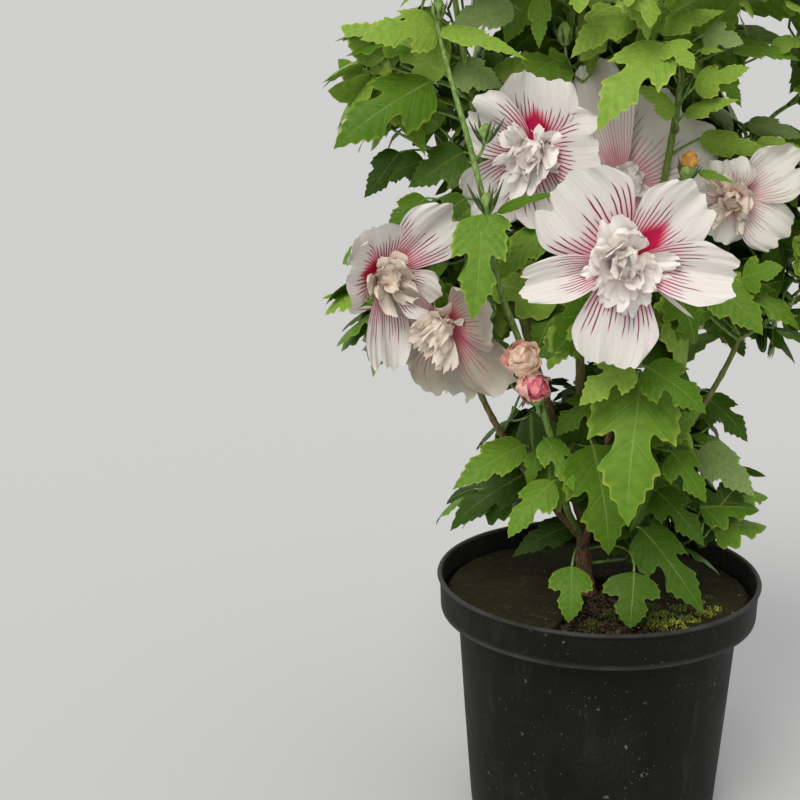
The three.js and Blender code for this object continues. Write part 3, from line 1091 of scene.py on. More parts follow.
# The petals of the blooms in front: turn, length, width, lift, curl, fold, roll, ruffle, notch
FRONT_BLOOM_PETALS = petals_in_degrees([
    (130, 58, 64, 16, 12, 3, 5, 2.6, (-0.5, 0.12)),
    (46, 57, 44, 18, 16, 10, -6, 1.8, (0.55, 0.05)),
    (-6, 61, 42, 14, 6, 26, 12, 1.6, (-0.2, 0.03)),
    (-97, 59, 50, 10, 18, 4, 4, 1.8, (-0.1, 0.06)),
    (194, 60, 34, 10, 0, 34, -12, 1.5, (0.3, 0.08)),
])
UPPER_LEFT_PETALS = petals_in_degrees([
    (150, 45, 46, 18, 20, 8, 8, 4.4, (0.2, 0.1)),
    (84, 46, 54, 20, 30, 2, 6, 4.6, (0.3, 0.08)),
    (8, 47, 52, 22, 10, 8, 8, 3.8, (-0.3, 0.08)),
    (-62, 46, 50, 14, 20, 8, 8, 3.2, (0.4, 0.06)),
    (-132, 53, 46, 6, 0, 18, 8, 3.4, (-0.2, 0.12)),
])
UPPER_RIGHT_PETALS = petals_in_degrees([
    (106, 76, 44, 16, 4, 22, 12, 4.6, (0.1, 0.12)),
    (-98, 50, 54, 10, 10, 6, 8, 3.0, (0.2, 0.06)),
    (42, 62, 72, 12, 12, 4, 6, 3.8, (-0.2, 0.05)),
    (176, 50, 54, 8, 10, 6, 8, 3.0, (0.2, 0.06)),
    (-22, 54, 56, 10, 10, 6, 8, 3.0, (0.2, 0.06)),
])
FAR_LEFT_PETALS = petals_in_degrees([
    (44, 57, 40, 16, -10, 8, 10, 3.0, (0.2, 0.12)),
    (172, 34, 46, 30, -10, 6, 8, 3.2, (0.2, 0.1)),
    (118, 34, 40, 24, 0, 6, 10, 2.6, (-0.3, 0.06)),
    (-93, 57, 36, 6, -6, 22, 8, 2.4, (0.3, 0.14)),
    (-34, 34, 34, 34, 10, 14, 8, 2.6, (0.1, 0.06)),
])
HANGING_PETALS = petals_in_degrees([
    (24, 42, 46, 16, 16, 6, 8, 3.6, (0.2, 0.08)),
    (-38, 53, 46, 12, 16, 10, 8, 3.4, (-0.3, 0.06)),
    (-96, 51, 48, 12, 16, 6, 8, 3.2, (0.2, 0.1)),
    (-142, 47, 42, 12, 16, 6, 8, 3.0, (0.2, 0.06)),
    (150, 36, 44, 22, 20, 6, 8, 3.0, (0.2, 0.06)),
])
RIGHT_EDGE_PETALS = petals_in_degrees([
    (34, 47, 38, 12, 40, 4, 6, 3.2, (0.2, 0.14)),
    (172, 30, 34, 16, 30, 6, 8, 2.6, (0.3, 0.06)),
    (98, 25, 36, 24, 30, 6, 8, 2.6, (-0.2, 0.05)),
    (-114, 26, 34, 16, 30, 6, 8, 2.6, (0.1, 0.06)),
    (-34, 38, 36, 14, 30, 6, 8, 2.6, (0.2, 0.06)),
])

BLOOMS = [
    Bloom(seen_at((626, 262), -106), (0.02, -1, 0.1), 122, FRONT_BLOOM_PETALS, 20, 0.05),
    Bloom(seen_at((536, 150), -38), (-0.3, -0.94, -0.05), 108, UPPER_LEFT_PETALS, 25, 0.25),
    Bloom(
        seen_at((620, 184), -2), (0.14, -0.93, 0.34), 130, UPPER_RIGHT_PETALS, 15, 0.1, False, SHY_LIT, 0.2
    ),
    Bloom(seen_at((734, 198), -10), (-0.22, -0.95, -0.12), 80, RIGHT_EDGE_PETALS, 15, 0.04, True, SHY_LIT),
    Bloom(seen_at((384, 274), -58), (0.5, -0.85, 0.02), 104, FAR_LEFT_PETALS, 21, 0.2, True),
    Bloom(seen_at((448, 322), -62), (-0.45, -0.8, -0.35), 96, HANGING_PETALS, 21, 0.25, True, FADED_SHADED),
    Bloom(np.array([-58, 104, 436]), (-0.3, 0.93, 0.2), 112, None, 23, 0.2),
    Bloom(np.array([70, 104, 374]), (0.35, 0.93, -0.1), 110, None, 23, 0.25),
    Bloom(np.array([22, 100, 560]), (0.15, 0.9, 0.4), 106, None, 21, 0.1),
    Bloom(np.array([-136, 62, 350]), (-0.85, 0.45, 0.0), 100, None, 21, 0.2),
    Bloom(np.array([136, 50, 492]), (0.9, 0.35, 0.2), 102, None, 21, 0.2),
    Bloom(np.array([106, -36, 612]), (0.7, -0.6, 0.35), 98, None, 21, 0.1),
    Bloom(np.array([-70, -58, 628]), (-0.3, -0.88, 0.3), 100, None, 21, 0.1),
]

# A bloom's stalk that is longer than this, in millimetres, has leaves along it
BARE_STALK = 34
leafy_stalks = []


def add_bloom(bloom):
    """A whole bloom with its calyx and the stalk that it stands on."""
    axes = bloom_axes(bloom.facing)
    rows = bloom.petals or wild_petals(bloom.size, chance.uniform(0, 72))
    centre = np.asarray(bloom.centre, float)
    add_petals(centre, axes, rows, bloom.shade)
    add_rosette(centre, axes, bloom, math.radians(rows[1].turn))
    add_heart_core(centre, axes, bloom.size * bloom.spread, bloom.cream)
    if bloom.petals is FRONT_BLOOM_PETALS:
        add_front_heart(centre, axes)
    foot = add_calyx(centre - axes[2] * 1.5, axes[2], 17)
    route = stalk_to(foot + axes[2] * 1.5, axes[2], 1.7, 1.4, 7)
    wood.append(route[1:-1])
    if np.linalg.norm(route[-1] - route[0]) > BARE_STALK:
        leafy_stalks.append(route)


# The shoot that carries the buds on the left, from the trunk up: pixel and depth
LEFT_SHOOT = [
    ((568, 512), -18), ((563, 482), -32), ((557, 458), -42), ((550, 434), -49), ((541, 405), -56),
    ((521, 345), -62), ((499, 286), -68), ((487, 222), -72), ((481, 190), -70), ((470, 146), -64),
    ((458, 104), -56), ((447, 64), -46), ((438, 26), -40), ((436, -6), -36),
]


def add_left_shoot():
    """The shoot on the left, as one smooth stem out of the wood below."""
    places = np.array([seen_at(pixel, depth) for pixel, depth in LEFT_SHOOT])
    places = np.concatenate([[nearest_wood(places[0] - STALK_DROP * UP)], places])
    route = finer_rows(places, 3)
    add_stalk(route, 2.6, 1.5, 8)
    wood.append(route[2:])


# The leaves that the photograph shows plainly: foot, tip and width in pixels, the depths of foot
# and tip, the shape, the tint, which also paints light or shade on the leaf, and how many degrees the
# leaf turns about its own length
FrontLeaf = namedtuple("FrontLeaf", "foot tip width depth reach shape tint turn")
FRONT_LEAVES = [FrontLeaf(*row) for row in (
    ((641, 376), (628, 526), 97, -70, -112, "lobed", "fresh", 0),
    ((592, 444), (611, 556), 82, -52, -70, "lobed", "mid", -12),
    ((632, 364), (578, 403), 52, -84, -98, "lobed", "lime", 18),
    ((646, 366), (706, 414), 56, -82, -96, "lobed", "mid", -14),
    ((524, 445), (452, 488), 44, -36, -62, "broad", "fresh", 14),
    ((545, 438), (574, 493), 34, -52, -72, "lobed", "fresh", -8),
    ((553, 481), (507, 536), 44, -60, -84, "young", "fresh", 16),
    ((524, 474), (449, 530), 46, -8, -24, "lobed", "shade", 14),
    ((537, 452), (527, 487), 20, -44, -54, "broad", "mid", 0),
    ((572, 566), (568, 623), 46, -64, -86, "young", "mid", 4),
    ((634, 572), (630, 629), 60, -72, -92, "young", "deep", -6),
    ((641, 528), (705, 613), 58, -44, -72, "lobed", "deep", -14),
    ((656, 490), (705, 545), 44, -26, -50, "lobed", "deep", -10),
    ((672, 452), (707, 502), 42, -58, -74, "lobed", "mid", -12),
    ((702, 446), (755, 498), 46, -12, -30, "broad", "sheen_sage", -12),
    ((577, 522), (512, 557), 34, 14, 0, "broad", "shade", 10),
    ((598, 398), (556, 437), 40, -34, -50, "lobed", "mid", 12),
    ((706, 396), (748, 442), 40, 14, 2, "lobed", "deep", -10),
    ((483, 214), (472, 322), 60, -80, -110, "lobed", "fresh", 4),
    ((487, 214), (508, 260), 36, -80, -94, "young", "fresh", -6),
    ((553, 222), (491, 287), 40, -40, -64, "broad", "fresh", 14),
    ((496, 213), (566, 191), 17, -78, -92, "slender", "mid", -30),
    ((666, 44), (597, 127), 66, -48, -84, "lobed", "lime", 12),
    ((668, 42), (694, 70), 36, -50, -66, "young", "lime", -14),
    ((674, 116), (635, 85), 27, -28, -40, "broad", "lime", 20),
    ((685, 113), (740, 99), 24, -24, -44, "broad", "lime", -20),
    ((694, 87), (751, 68), 38, -30, -44, "young", "lime", -16),
    ((704, 34), (744, 44), 34, -30, -42, "young", "sheen_sage", 0),
    ((658, 28), (726, 11), 28, -26, -38, "broad", "lime", -12),
    ((632, 14), (571, 56), 44, -24, -48, "broad", "lime", 14),
    ((722, 71), (742, 108), 24, -14, -24, "slender", "fresh", -10),
    ((732, 46), (802, 61), 24, -10, -20, "broad", "fresh", -20),
    ((742, 278), (783, 267), 40, -30, -42, "young", "fresh", -6),
    ((716, 285), (763, 336), 52, -30, -52, "broad", "fresh", -10),
    ((736, 284), (800, 328), 40, -22, -40, "lobed", "fresh", -16),
    ((431, 81), (333, 148), 74, -30, -60, "lobed", "mid", 10),
    ((438, 28), (361, 37), 54, -36, -62, "lobed", "lime", 14),
    ((438, 29), (529, 61), 28, -38, -66, "slender", "lime", -24),
    ((455, 66), (504, 86), 42, -22, -32, "broad", "sheen_sage", -8),
    ((556, 60), (507, 97), 46, -14, -34, "young", "fresh", 12),
    ((513, 5), (447, 30), 42, -22, -34, "broad", "sheen_sage", 10),
    ((770, 48), (816, 41), 22, -12, -22, "broad", "lime", -14),
    ((748, 122), (808, 140), 22, 24, 8, "broad", "sheen_sage", 12),
    ((700, 138), (774, 152), 28, -4, -14, "broad", "lime", 10),
    ((722, 160), (806, 158), 24, 4, -4, "broad", "fresh", 8),
    ((756, 142), (812, 154), 20, 0, -8, "broad", "lime", 8),
    ((698, 172), (735, 183), 11, -30, -40, "slender", "fresh", -6),
    ((464, 152), (408, 188), 46, -14, -24, "broad", "deep", 12),
    ((426, 198), (386, 232), 36, -26, -38, "broad", "mid", 8),
    ((466, 198), (428, 224), 30, -36, -46, "broad", "deep", 8),
    ((424, 160), (380, 182), 34, 6, -2, "broad", "deep", 8),
    ((400, 152), (364, 198), 36, 6, -4, "broad", "shade", 8),
    ((372, 104), (378, 132), 24, -4, -10, "broad", "mid", 0),
    ((530, -2), (505, 44), 36, 2, -6, "broad", "fresh", 0),
    ((700, 50), (724, 51), 10, -34, -42, "slender", "lime", -10),
    ((404, 104), (426, 157), 26, -18, -34, "slender", "fresh", -6),
    ((541, -4), (539, 49), 25, -26, -38, "broad", "fresh", 0),
)]


def add_front_leaves():
    """The leaves that show plainly, each on a stalk from the nearest wood."""
    for row in FRONT_LEAVES:
        foot = seen_at(row.foot, row.depth)
        tip = seen_at(row.tip, row.reach)
        away = (foot - CAMERA_AT) @ CAMERA_AHEAD
        width = row.width * away / FOCAL_PIXELS
        along_way = unit(tip - foot)
        face = unit(CAMERA_AT - foot) + 0.25 * UP
        face = turned(face, along_way, math.radians(row.turn))
        add_leaf(front_leaves, foot, tip, face, width, row.shape, row.tint, 0.07, 0.1, 0.1)
        stalk_to(foot, along_way * 0.7 + UP * 0.4, 0.95, 0.75)


# Small things that the photograph shows plainly: pixel, radius in pixels, depth
SMALL_SIGHTS = [
    ((526, 374), 46, -90), ((688, 160), 26, -44), ((487, 200), 22, -94), ((486, 122), 26, -64),
    ((590, 545), 26, -30), ((566, 34), 22, -30),
]

# Gaps in the crown that the photograph shows: pixel and radius in pixels
GAPS = [
    ((468, 466), 16), ((458, 418), 24), ((490, 414), 22), ((428, 426), 24), ((714, 358), 20),
    ((734, 374), 20), ((766, 90), 24), ((780, 400), 30), ((770, 440), 30),
]

# How many of the blooms the photograph shows, and how far behind a bloom's centre a leaf still
# counts as in front of it
BLOOMS_IN_VIEW = 6
BLOOM_DEPTH = 6


def plain_sights():
    """What has to stay in view: its pixel, its radius in pixels, and how far ahead it is."""
    sights = [(pixel, radius, math.inf) for pixel, radius in GAPS]
    for bloom in BLOOMS[:BLOOMS_IN_VIEW]:
        across, down, far = (part[0] for part in in_view(bloom.centre))
        sights.append(((across, down), bloom.size * 0.5 * FOCAL_PIXELS / far, far + BLOOM_DEPTH))
    for pixel, radius, depth in SMALL_SIGHTS:
        sights.append((pixel, radius, in_view(seen_at(pixel, depth))[2][0]))
    for leaf in FRONT_LEAVES:
        middle = np.add(leaf.foot, leaf.tip) / 2
        radius = math.dist(leaf.foot, leaf.tip) / 4 + leaf.width * 0.3
        sights.append((middle, radius, in_view(seen_at(leaf.foot, leaf.depth))[2][0]))
    return sights


SIGHTS = plain_sights()


def clear_of_view(places):
    """False where a leaf would fill a gap, or hide something that the photograph shows plainly."""
    across, down, ahead = in_view(places)
    for pixel, radius, far in SIGHTS:
        near = np.hypot(across - pixel[0], down - pixel[1]) < radius
        if np.any(near & (ahead < far)):
            return False
    return True


# The room that leaves give a bloom: a share of its size aside, and depths behind and before it
BLOOM_ROOM = 0.47
BLOOM_BACK = -9
BLOOM_FRONT = 60


def clear_of_blooms(places):
    """False where a leaf would pass through a bloom."""
    for bloom in BLOOMS:
        away = places - bloom.centre
        out = unit(bloom.facing)
        depth = away @ out
        aside = np.linalg.norm(away - np.outer(depth, out), axis=1)
        if np.any((aside < bloom.size * BLOOM_ROOM) & (depth > BLOOM_BACK) & (depth < BLOOM_FRONT)):
            return False
    return True


# Growth: twigs run from the limbs to places spread over each mass, with leaves along them

# Lengths in millimetres, and breadths as shares of a leaf's length
LEAF_SPACING = 10.5
STALK_LEAF_SPACING = 9.0
BOX_MARGIN = 7.0
FILL_MARGIN = 8
SKIN_OF_A_TWIG = 2400.0
SHORTEST_TWIG = 34.0
TWIG_STEP = 8
TWIG_RISE = 22
TWIG_LUCK = 9
TWIG_SWERVE = 0.22
TRIES = 4
BUDDED_SHARE = 0.3
BUD_SIZES = (10, 14)
SPRAY_TINT_SHARE = 0.7
LEAF_STALKS = (7, 26)
LEAF_LENGTHS = (38, 64)
LEAF_BREADTHS = (0.66, 0.86)

# The heights where the tiers of leaves end
TIER_TOPS = {"low": 300, "mid": 440, "upper": 560}

# The least score that earns a leaf each tint, and what the score is made from; a higher score paints a
# lighter green where light falls on the crown
TINT_SCORES = {"lime": 0.9, "fresh": 0.68, "mid": 0.5, "deep": 0.32}
SUNLIT_HEIGHT = 420
TINT_LUCK = 0.28
CROWN_RADIUS = 140


def leaf_sample(foot, tip, face, width):
    """Places over a leaf that is still to be made."""
    beside = unit(np.cross(tip - foot, face)) * width / 2
    middle = [foot + (tip - foot) * share for share in (0.15, 0.35, 0.6)]
    sides = [place + beside * way for place in middle for way in (-1, 1)]
    return np.array([foot, *middle, *sides, tip])


def inside_box(places):
    """True if places lie in the CAD model's box, or a little outside it."""
    low = np.array(CAD_BOX[0]) / MM - BOX_MARGIN
    high = np.array(CAD_BOX[1]) / MM + BOX_MARGIN
    return bool(np.all(places > low) and np.all(places < high))


def spread_ways(count, number):
    """Directions spread over a ball, few of them downwards."""
    ways = []
    for i in range(count):
        height = 0.97 - 1.5 * (i + 0.5) / count
        turn = i * GOLDEN_ANGLE + number * 1.3
        across = math.sqrt(max(1 - height * height, 0))
        ways.append((across * math.cos(turn), across * math.sin(turn), height))
    return np.array(ways)


def leaf_tint(place, share_out):
    """A green for a spray, partly real variety and partly painted light and shade: lighter at the
    outside, the top and the front where light falls, darker inside and low where shade falls.
    """
    luck = chance.uniform(-TINT_LUCK, TINT_LUCK)
    # Painted light and shade: the score rises towards the outside, the top and the front, and more above
    # the sunlit height
    score = share_out * 0.4 + place[2] / 850 - place[1] / 900 + luck
    score = score + max(place[2] - SUNLIT_HEIGHT, 0) / 1000
    return next((tint for tint, least in TINT_SCORES.items() if score > least), "shade")


def mass_box(tier, side):
    """The middle and half size of a mass of foliage in the CAD model."""
    low, high = (np.array(corner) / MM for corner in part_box(f"foliage_{tier}_{side}"))
    return (low + high) / 2, (high - low) / 2


MASSES = {(tier, side): mass_box(tier, side) for tier, sides in TIERS.items() for side in sides}
CROWN_MIDDLES, CROWN_HALVES = (np.array(part) for part in zip(*MASSES.values()))
CROWN_REACH = 1.12


def inside_crown(places):
    """True if every place lies in one of the masses, or just outside it."""
    away = (places[:, None] - CROWN_MIDDLES) / CROWN_HALVES
    return np.linalg.norm(away, axis=2).min(axis=1).max() < CROWN_REACH


def leaf_fits(places):
    """True where a leaf stays in the crown and hides or touches nothing it shouldn't."""
    return (
        inside_box(places)
        and inside_crown(places)
        and places[:, 2].min() > FILL_HEIGHT + FILL_MARGIN
        and clear_of_view(places)
        and clear_of_blooms(places)
    )


def grow_leaf(heap, at, way, turn, share, young, tint):
    """One leaf on its stalk, tried round the twig until a place is free. False if none is."""
    side = turned(unit(np.cross(way, UP + 0.2 * FRONT)), way, turn)
    radial = unit(at * (1, 1, 0) - np.array([TRUNK_X, 0, 0]))
    for attempt in range(TRIES):
        outside = turned(side, way, chance.uniform(-0.6, 0.6) * (attempt + 0.5))
        stalk = chance.uniform(*LEAF_STALKS) * (1.15 - 0.5 * share)
        foot = at + outside * stalk * 0.75 + way * stalk * chance.uniform(0.2, 0.9)
        droop = chance.uniform(0.15, 1.25) * (1.0 if share < 0.9 else 0.5)
        heading = unit(outside * 0.75 + radial * 0.55 + way * 0.25 - UP * droop)
        length = chance.uniform(*LEAF_LENGTHS) * (1.05 - 0.3 * share * young) * (1 - 0.12 * attempt)
        tip = foot + heading * length
        face = unit(UP * 0.65 + radial * 0.85 + FRONT * 0.15 + chance.uniform(-0.3, 0.3, 3))
        width = length * chance.uniform(*LEAF_BREADTHS)
        if not leaf_fits(leaf_sample(foot, tip, face, width)):
            continue
        shape = ("simple", "round", "simple")[chance.integers(3)]
        bends = chance.uniform(0.03, 0.13), chance.uniform(-0.25, 0.2), chance.uniform(-0.4, 0.4)
        add_leaf(heap, foot, tip, face, width, shape, tint, *bends)
        bend = at + outside * stalk * 0.5 + way * stalk * 0.15
        add_stalk(bezier(at, bend, foot + heading * 1.5, 4), 0.95, 0.7, 5)
        return True
    return False


def grow_twig(heap, start, end, tint, young):
    """A twig from start to end, with leaves that go round it by the golden angle."""
    span = np.linalg.norm(end - start)
    outwards = unit((end - start) * (1, 1, 0.2))
    bend = start + 0.55 * (end - start) + outwards * span * 0.08 - UP * span * 0.07
    route = bezier(start, bend, end, max(5, int(span / TWIG_STEP)))
    if not clear_of_view(route[2:]) or not clear_of_blooms(route[2:]):
        return False
    ways = unit(np.gradient(route, axis=0))
    count = max(3, int(span / LEAF_SPACING))
    turn = chance.uniform(0, 2 * math.pi)
    leafy = 0
    for i in range(count):
        share = 0.2 + 0.8 * (i + chance.uniform(0.2, 1)) / count
        step = min(int(share * (len(route) - 1)), len(route) - 1)
        turn += GOLDEN_ANGLE + chance.uniform(-0.25, 0.25)
        own = tint if chance.random() < SPRAY_TINT_SHARE else leaf_tint(route[step], share)
        if grow_leaf(heap, route[step], ways[step], turn, share, young, own):
            leafy = step
    if leafy == 0:
        return False
    route = route[: leafy + 1]
    add_stalk(route, 1.5 if span > 60 else 1.2, 0.8)
    wood.append(route[2:])
    if young and chance.random() < BUDDED_SHARE:
        way = unit(route[-1] - route[-2])
        size = chance.uniform(*BUD_SIZES)
        if leaf_fits(route[-1] + np.outer([0, size * 1.4], way)):
            add_bud(route[-1], way, size, chance.random() < 0.4)
    return True


def tier_of(height):
    """The tier of leaves that a height belongs to."""
    return next((tier for tier, top in TIER_TOPS.items() if height < top), "top")


def dress_stalks():
    """Leaves along the longer stalks of the blooms."""
    for route in leafy_stalks:
        ways = unit(np.gradient(route, axis=0))
        span = np.linalg.norm(route[-1] - route[0])
        turn = chance.uniform(0, 2 * math.pi)
        for share in np.arange(0.15, 0.8, STALK_LEAF_SPACING / span):
            step = int(share * (len(route) - 1))
            turn += GOLDEN_ANGLE
            heap = leaf_heaps[tier_of(route[step][2])]
            grow_leaf(heap, route[step], ways[step], turn, share, 0.5, leaf_tint(route[step], 0.8))


def branching_place(heading, end):
    """The wood that a twig with its end at a place starts from: near its heading, and well below."""
    known = np.concatenate(wood)
    away = np.linalg.norm(known - heading, axis=1)
    short = np.maximum(SHORTEST_TWIG - np.linalg.norm(known - end, axis=1), 0)
    above = np.maximum(known[:, 2] - end[2] + TWIG_RISE, 0)
    luck = chance.uniform(0, TWIG_LUCK, len(known))
    return known[np.argmin(away + 2 * short + 1.2 * above + luck)]


def grow_masses():
    """Twigs and leaves for each mass of foliage, from the lowest tier up."""
    for number, ((tier, _), (middle, half)) in enumerate(MASSES.items(), 1):
        heap = leaf_heaps["top" if tier == "tip" else tier]
        size = (half[0] * half[1] * half[2]) ** (2 / 3)
        count = max(4, round(4 * math.pi * size / SKIN_OF_A_TWIG))
        for way in spread_ways(count, number):
            for attempt in range(TRIES):
                swerve = unit(way + chance.normal(0, TWIG_SWERVE, 3) * attempt)
                reach = 0.96 if way[2] > 0.85 else chance.uniform(0.62, 0.9)
                end = middle + swerve * half * reach
                start = branching_place(0.5 * middle + 0.5 * end, end)
                tint = leaf_tint(end, np.hypot(end[0], end[1]) / CROWN_RADIUS)
                if grow_twig(heap, start, end, tint, tier in ("top", "tip")):
                    break


# Pot, fill and floor

POT_SIDES = 144
FILL_SIDES = 112
FILL_GAP = 0.4
FILL_ROUGHNESS = 0.55
DISC_SIDES = 120
DISC_RINGS = 14
DISC_BEVEL = 0.9
HOLES = 6
HOLE_RADIUS = 6
HOLE_CIRCLE = 64


def ring_profile(name, profile, sides):
    """A round body raised ring by ring from a filled circle by extruding its edge, then closed."""
    bpy.ops.object.select_all(action="DESELECT")
    radius, height = profile[0]
    bpy.ops.mesh.primitive_circle_add(
        vertices=sides, radius=radius * MM, fill_type="NGON", location=(0, 0, height * MM)
    )
    body = bpy.context.object
    bpy.ops.object.transform_apply(location=True)
    bpy.ops.object.mode_set(mode="EDIT")
    for new_radius, new_height in profile[1:]:
        bpy.ops.mesh.extrude_region_move(
            TRANSFORM_OT_translate={"value": (0, 0, (new_height - height) * MM)}
        )
        grow = new_radius / radius
        bpy.ops.transform.resize(value=(grow, grow, 1), center_override=(0, 0, new_height * MM))
        radius, height = new_radius, new_height
    bpy.ops.mesh.edge_face_add()
    bpy.ops.mesh.select_all(action="SELECT")
    bpy.ops.mesh.normals_make_consistent(inside=False)
    bpy.ops.object.mode_set(mode="OBJECT")
    body.name = name
    return body


def pot_finish():
    """Satin black plastic, dusty and splashed, with a pale painted highlight along the lip, and along the
    band edge with some dust.
    """
    look = Finish("pot_black_plastic", (0.009, 0.009, 0.0085), 0.58, 0.12)
    place = look.here()
    height = look.height()
    cloud = look.noise(place, 18, 5, 0.6)
    grain = look.noise(place, 900, 3)
    streaks = look.noise(look.here((1, 1, 0.25)), 70, 4, 0.6)
    splash = look.noise(place, 210, 2, 0.4)
    rare = look.step(look.noise(place, 30, 2), 0.42, 0.62, 0.15, 1)
    dots = look.times(look.step(splash, 0.72, 0.77), rare)
    fine_dots = look.step(look.noise(place, 520, 1), 0.72, 0.78, 0, 0.45)
    dust = look.times(look.step(cloud, 0.42, 0.7), look.step(grain, 0.4, 0.7, 0.3, 1))
    dust = look.plus(look.times(dust, 0.45), look.step(streaks, 0.56, 0.72, 0, 0.3))
    # A pale line round the lip is a painted highlight; the one at the band's lower edge is painted
    # highlight with dust
    lip = look.step(height, 0.1692, 0.1714, 0, 0.6)
    ledge = look.times(look.step(height, 0.1462, 0.1472), look.step(height, 0.1515, 0.1478))
    highlight_and_dust = look.larger(lip, look.times(ledge, 0.55))
    black = look.mix(dust, (0.0062, 0.0065, 0.0056), (0.036, 0.035, 0.029))
    highlight_and_dust = look.times(highlight_and_dust, look.step(cloud, 0.3, 0.6, 0.35, 1))
    black = look.mix(highlight_and_dust, black, (0.085, 0.085, 0.075))
    specks = look.larger(look.times(dots, 0.6), fine_dots)
    look.colour(look.mix(specks, black, (0.2, 0.195, 0.17)))
    look.roughness(look.step(cloud, 0.35, 0.75, 0.52, 0.7))
    look.bump(look.plus(look.times(grain, 0.15), dots), 0.0004, 0.35)
    return look.material


def make_pot():
    """The nursery pot: a tapered cup with a broad band and a rolled lip, and drain holes."""
    shoulder = POT_HEIGHT - BAND_HEIGHT
    slope = (SHOULDER_RADIUS - FOOT_RADIUS) / shoulder
    inner = FOOT_RADIUS - POT_WALL
    rim, top = RIM_RADIUS, POT_HEIGHT
    profile = [
        (FOOT_RADIUS - 9, 1.6), (FOOT_RADIUS - 8, 0), (FOOT_RADIUS - 2, 0), (FOOT_RADIUS - 0.6, 0.7),
        (FOOT_RADIUS, 2.2), (FOOT_RADIUS + 12 * slope, 12), (FOOT_RADIUS + 70 * slope, 70),
        (SHOULDER_RADIUS - 1, shoulder - 8), (SHOULDER_RADIUS, shoulder - 1.5),
        (SHOULDER_RADIUS + 1.2, shoulder), (rim - 4.2, shoulder), (rim - 3, shoulder + 0.6),
        (rim - 2.6, shoulder + 2), (rim - 1.9, top - 5), (rim - 1.6, top - 3.4), (rim - 0.5, top - 2.8),
        (rim, top - 1.6), (rim - 0.5, top - 0.4), (rim - 1.7, top), (rim - 3, top - 0.5),
        (rim - 3.6, top - 2), (rim - 4.8, shoulder + 4), (rim - 6, shoulder + POT_WALL),
        (SHOULDER_RADIUS - POT_WALL, shoulder + POT_WALL), (inner + 60 * slope, 60),
        (inner, POT_WALL + 1), (inner - 1.5, POT_WALL), (30, POT_WALL + 0.6), (4, POT_WALL + 0.6),
    ]
    pot = ring_profile("nursery_pot", profile, POT_SIDES)
    for i in range(HOLES):
        turn = (i + 0.5) * 2 * math.pi / HOLES
        bpy.ops.object.select_all(action="DESELECT")
        bpy.ops.mesh.primitive_cylinder_add(
            vertices=20,
            radius=HOLE_RADIUS * MM,
            depth=2 * HOLE_RADIUS * MM,
            location=(HOLE_CIRCLE * MM * math.cos(turn), HOLE_CIRCLE * MM * math.sin(turn), 0),
        )
        drill = bpy.context.object
        pick(pot)
        hole = pot.modifiers.new("drain_hole", "BOOLEAN")
        hole.operation = "DIFFERENCE"
        hole.object = drill
        bpy.ops.object.modifier_apply(modifier=hole.name)
        bpy.data.objects.remove(drill)
    bpy.ops.object.shade_smooth_by_angle(angle=math.radians(38))
    pot.data.materials.append(pot_finish())
    present(pot, "pot_plastic", "pot")


def fill_height(places):
    """The level of the fill's sloping top at places."""
    return FILL_HEIGHT - places[:, 1] * math.tan(FILL_TILT)


def seen_on_fill(pixel):
    """The place on the fill's top that the photograph shows at a pixel."""
    near, far = seen_at(pixel, -RIM_RADIUS), seen_at(pixel, RIM_RADIUS)
    above = [place[2] - fill_height(place[None])[0] for place in (near, far)]
    return near + (far - near) * above[0] / (above[0] - above[1])


def displaced(piece, scale, depth):
    """Relief on a piece from a soft texture, applied to its mesh."""
    texture = bpy.data.textures.new(piece.name + "_relief", "CLOUDS")
    texture.noise_scale = scale
    relief = piece.modifiers.new("relief", "DISPLACE")
    relief.texture = texture
    relief.strength = depth
    relief.mid_level = 0.5
    relief.direction = "Z"
    bpy.ops.object.modifier_apply(modifier=relief.name)


def tilt_to_fill(piece, height):
    """Tips a level piece to the slope of the fill and lifts it to a height above the pot's foot."""
    pick(piece)
    piece.rotation_euler = (-FILL_TILT, 0, 0)
    piece.location = (0, 0, height * MM)
    bpy.ops.object.transform_apply(location=True, rotation=True)


def compost_finish():
    """Dark peaty crumb with wood bits."""
    look = Finish("compost_crumb", (0.035, 0.024, 0.015), 0.95, 0.2)
    crumb = look.noise(look.here(), 420, 5, 0.65)
    bits = look.cells(look.here((1, 0.4, 1)), 260)
    soil = look.mix(look.step(crumb, 0.4, 0.66), (0.014, 0.01, 0.007), (0.07, 0.045, 0.026))
    look.colour(look.mix(look.step(bits, 0.16, 0.08, 0, 0.5), soil, (0.2, 0.14, 0.085)))
    look.bump(crumb, 0.002, 0.9)
    return look.material


def make_compost():
    """The compost: a body that fills the pot, with a rough crumbly top."""
    shoulder = POT_HEIGHT - BAND_HEIGHT + POT_WALL
    inner = FOOT_RADIUS - POT_WALL - FILL_GAP
    top = SHOULDER_RADIUS - POT_WALL - FILL_GAP
    band = RIM_RADIUS - 6.2
    profile = [(inner - 2, 2.6), (inner, 4), (top, shoulder + 0.4), (band, shoulder + 0.5), (band, 153)]
    profile += [(band - 3.4 * i, 153 + 0.12 * i) for i in range(1, 30)]
    fill = ring_profile("compost_fill", profile, FILL_SIDES)
    places = np.zeros(len(fill.data.vertices) * 3)
    fill.data.vertices.foreach_get("co", places)
    places = places.reshape(-1, 3) / MM
    lid = places[:, 2] > 152
    level = fill_height(places) - 1.2
    crumbs = 0.9 * np.sin(0.31 * places[:, 0] + 2) * np.cos(0.27 * places[:, 1])
    rough = chance.normal(0, FILL_ROUGHNESS, len(places))
    inward = np.hypot(places[:, 0], places[:, 1]) < band - 1
    places[:, 2] = np.where(lid, level + (crumbs + rough) * inward, places[:, 2])
    fill.data.vertices.foreach_set("co", (places * MM).ravel())
    fill.data.update()
    bpy.ops.object.shade_smooth()
    fill.data.materials.append(compost_finish())
    present(fill, "compost", "compost")


